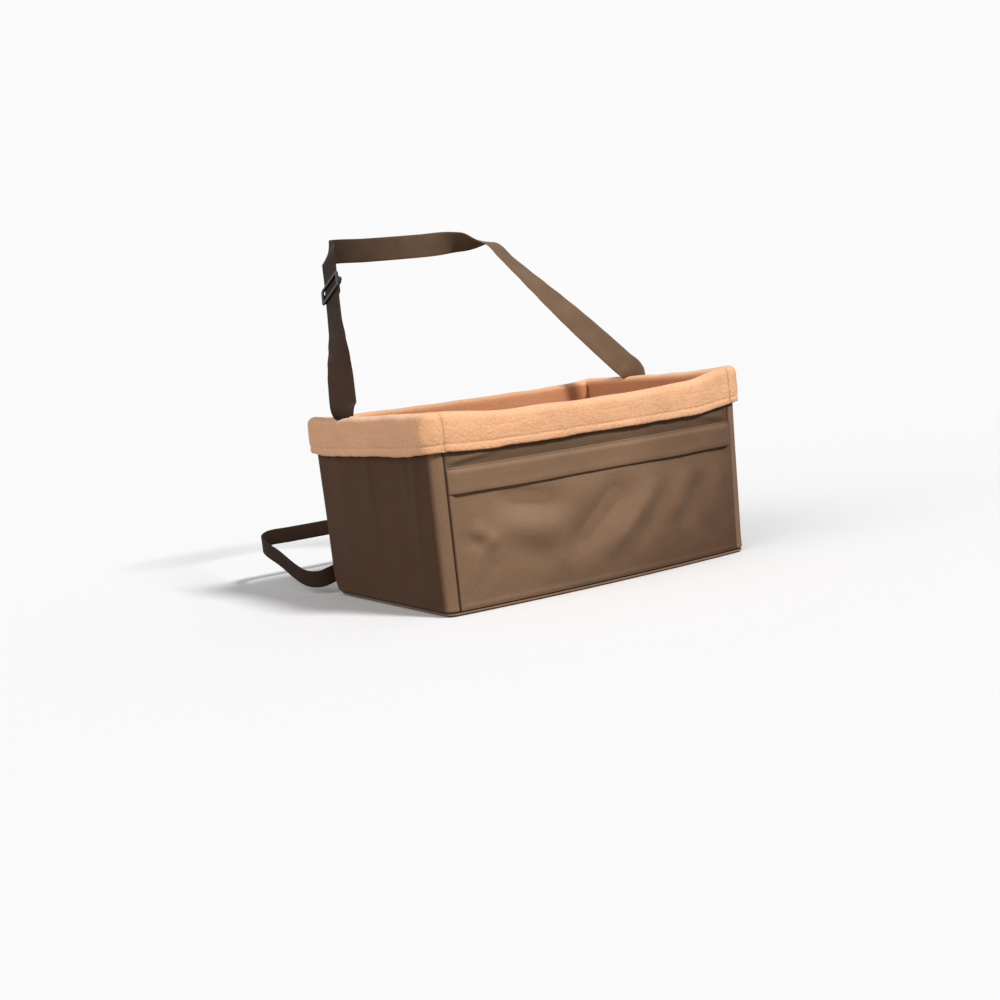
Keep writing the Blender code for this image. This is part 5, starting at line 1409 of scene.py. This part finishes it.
def rear_webbing(name, side, threading):
    """One half of the rear strap, threaded through its part of the buckle along (x, y)."""
    path = [(x, y, REAR_BACK_HEIGHT) for x, y in threading]
    threaded = upright_keys(fillet_path(path, WEBBING + CLEARANCE * 1.7))
    lead = smooth_path([*rear_leg_keys(side, threading[0][1]), threaded[0]], 0.006)
    webbing_strip(f"rear_webbing_{name}", lead[:-1] + threaded, REAR_WIDTH, WEBBING,
                  (f"rear_strap_{name}",))


def make_rear_straps():
    """Left half threads the plug's ladder; right half is sewn round the socket's bar."""
    layer = LADDER_THICKNESS / 2 + CLEARANCE + WEBBING / 2
    front, back = REAR_BACK_Y - layer, REAR_BACK_Y + layer
    doubled = front - WEBBING - CLEARANCE
    sewn_y = front + WEBBING + CLEARANCE * 1.5
    corner_x = REAR_SIDE_X - REAR_BEND * 2.5
    outer_slot = LADDER_END_BAR + LADDER_SLOT / 2 - PLUG_LENGTH
    inner_slot = outer_slot + LADDER_SLOT + LADDER_BAR
    rear_webbing("left", -1, [(-corner_x, doubled), (inner_slot, doubled), (inner_slot, back),
                              (outer_slot, back), (outer_slot, front), (-2 * PLUG_LENGTH, front)])
    slot = SOCKET_LENGTH - LADDER_END_BAR - LADDER_SLOT / 2
    rear_webbing("right", 1, [(corner_x, front), (slot, front), (slot, back),
                              (slot + LADDER_SLOT * 2.2, back),
                              (slot + LADDER_SLOT * 4.5, sewn_y), (slot + SOCKET_LENGTH, sewn_y)])


def dress_hardware():
    """Finishes for the CAD nodes that are shown as they are."""
    patches = {"hook": [name for name in nodes if "_patch_" in name]}
    for finish, names in {**SHOWN_NODES, **patches}.items():
        for name in names:
            materials = nodes[name].data.materials
            materials.clear()
            materials.append(finishes[finish])


def pale_floor():
    """Plain pale floor, far larger than the view."""
    bm = bmesh.new()
    bmesh.ops.create_grid(bm, x_segments=1, y_segments=1, size=FLOOR_HALF)
    floor = mesh_object("floor", bm)
    paint = Paint("pale_floor", roughness=1.0, specular=0.0)
    seen = add_node(paint.tree, "LightPath", "Is Camera Ray", {})
    tone = paint.ramp(seen, (0.0, FLOOR_BOUNCE_COLOUR), (1.0, FLOOR_COLOUR))
    paint.tree.links.new(tone, paint.sockets["Base Color"])
    floor.data.materials.append(paint.material)


def soft_sun(name, place, spread_angle, power, colour):
    """An even light from the direction of a place, as soft as its spread is wide."""
    light = bpy.data.lights.new(name, 'SUN')
    light.angle = math.radians(spread_angle)
    light.energy = power
    light.color = colour
    holder = in_scene(name, light)
    holder.location = place
    holder.rotation_euler = (-Vector(place)).to_track_quat('-Z', 'Y').to_euler()


def make_lights():
    """Key from the front right, a weak fill from the left and an even white surround."""
    for light in LIGHTS:
        soft_sun(*light)
    world = bpy.data.worlds.new("studio")
    world.use_nodes = True
    tree = world.node_tree
    sky = tree.nodes["Background"]
    sky.inputs["Color"].default_value = (*WHITE, 1.0)
    sky.inputs["Strength"].default_value = SKY_STRENGTH
    backdrop = add_node(tree, "Background", "Background", {"Color": BACKDROP_COLOUR})
    seen = tree.nodes.new("ShaderNodeLightPath").outputs
    mirrored = add_node(tree, "Math", "Value", {
        0: seen["Is Glossy Ray"], 1: seen["Is Transmission Ray"]}, operation='MAXIMUM')
    dimmed = add_node(tree, "Math", "Value", {0: mirrored, 1: MIRRORED_SHARE}, operation='MULTIPLY')
    direct = add_node(tree, "Math", "Value", {
        0: seen["Is Camera Ray"], 1: dimmed}, operation='MAXIMUM')
    mixed = add_node(tree, "MixShader", "Shader", {
        "Fac": direct, 1: sky.outputs["Background"], 2: backdrop})
    tree.links.new(mixed, tree.nodes["World Output"].inputs["Surface"])
    bpy.context.scene.world = world


def make_camera():
    """Camera at the photograph's viewing angle, from a fit to the basket's corners."""
    data = bpy.data.cameras.new("camera")
    data.sensor_width = SENSOR_WIDTH
    data.lens = CAMERA_LENS
    camera = in_scene("camera", data)
    right = Vector(CAMERA_RIGHT).normalized()
    up = Vector(CAMERA_UP).normalized()
    back = right.cross(up).normalized()
    turn = Matrix((right, back.cross(right), back)).transposed().to_4x4()
    camera.matrix_world = Matrix.Translation(CAMERA_PLACE) @ turn
    bpy.context.scene.camera = camera


make_camera()
make_side_panel(-1)
make_side_panel(1)
make_end_panels()
make_base_tray()
make_pocket()
make_liner()
make_padding()
make_head_strap()
make_adjuster()
make_rear_straps()
sew_straps()
dress_hardware()
pale_floor()
make_lights()
bpy.context.scene.view_settings.view_transform = 'Standard'
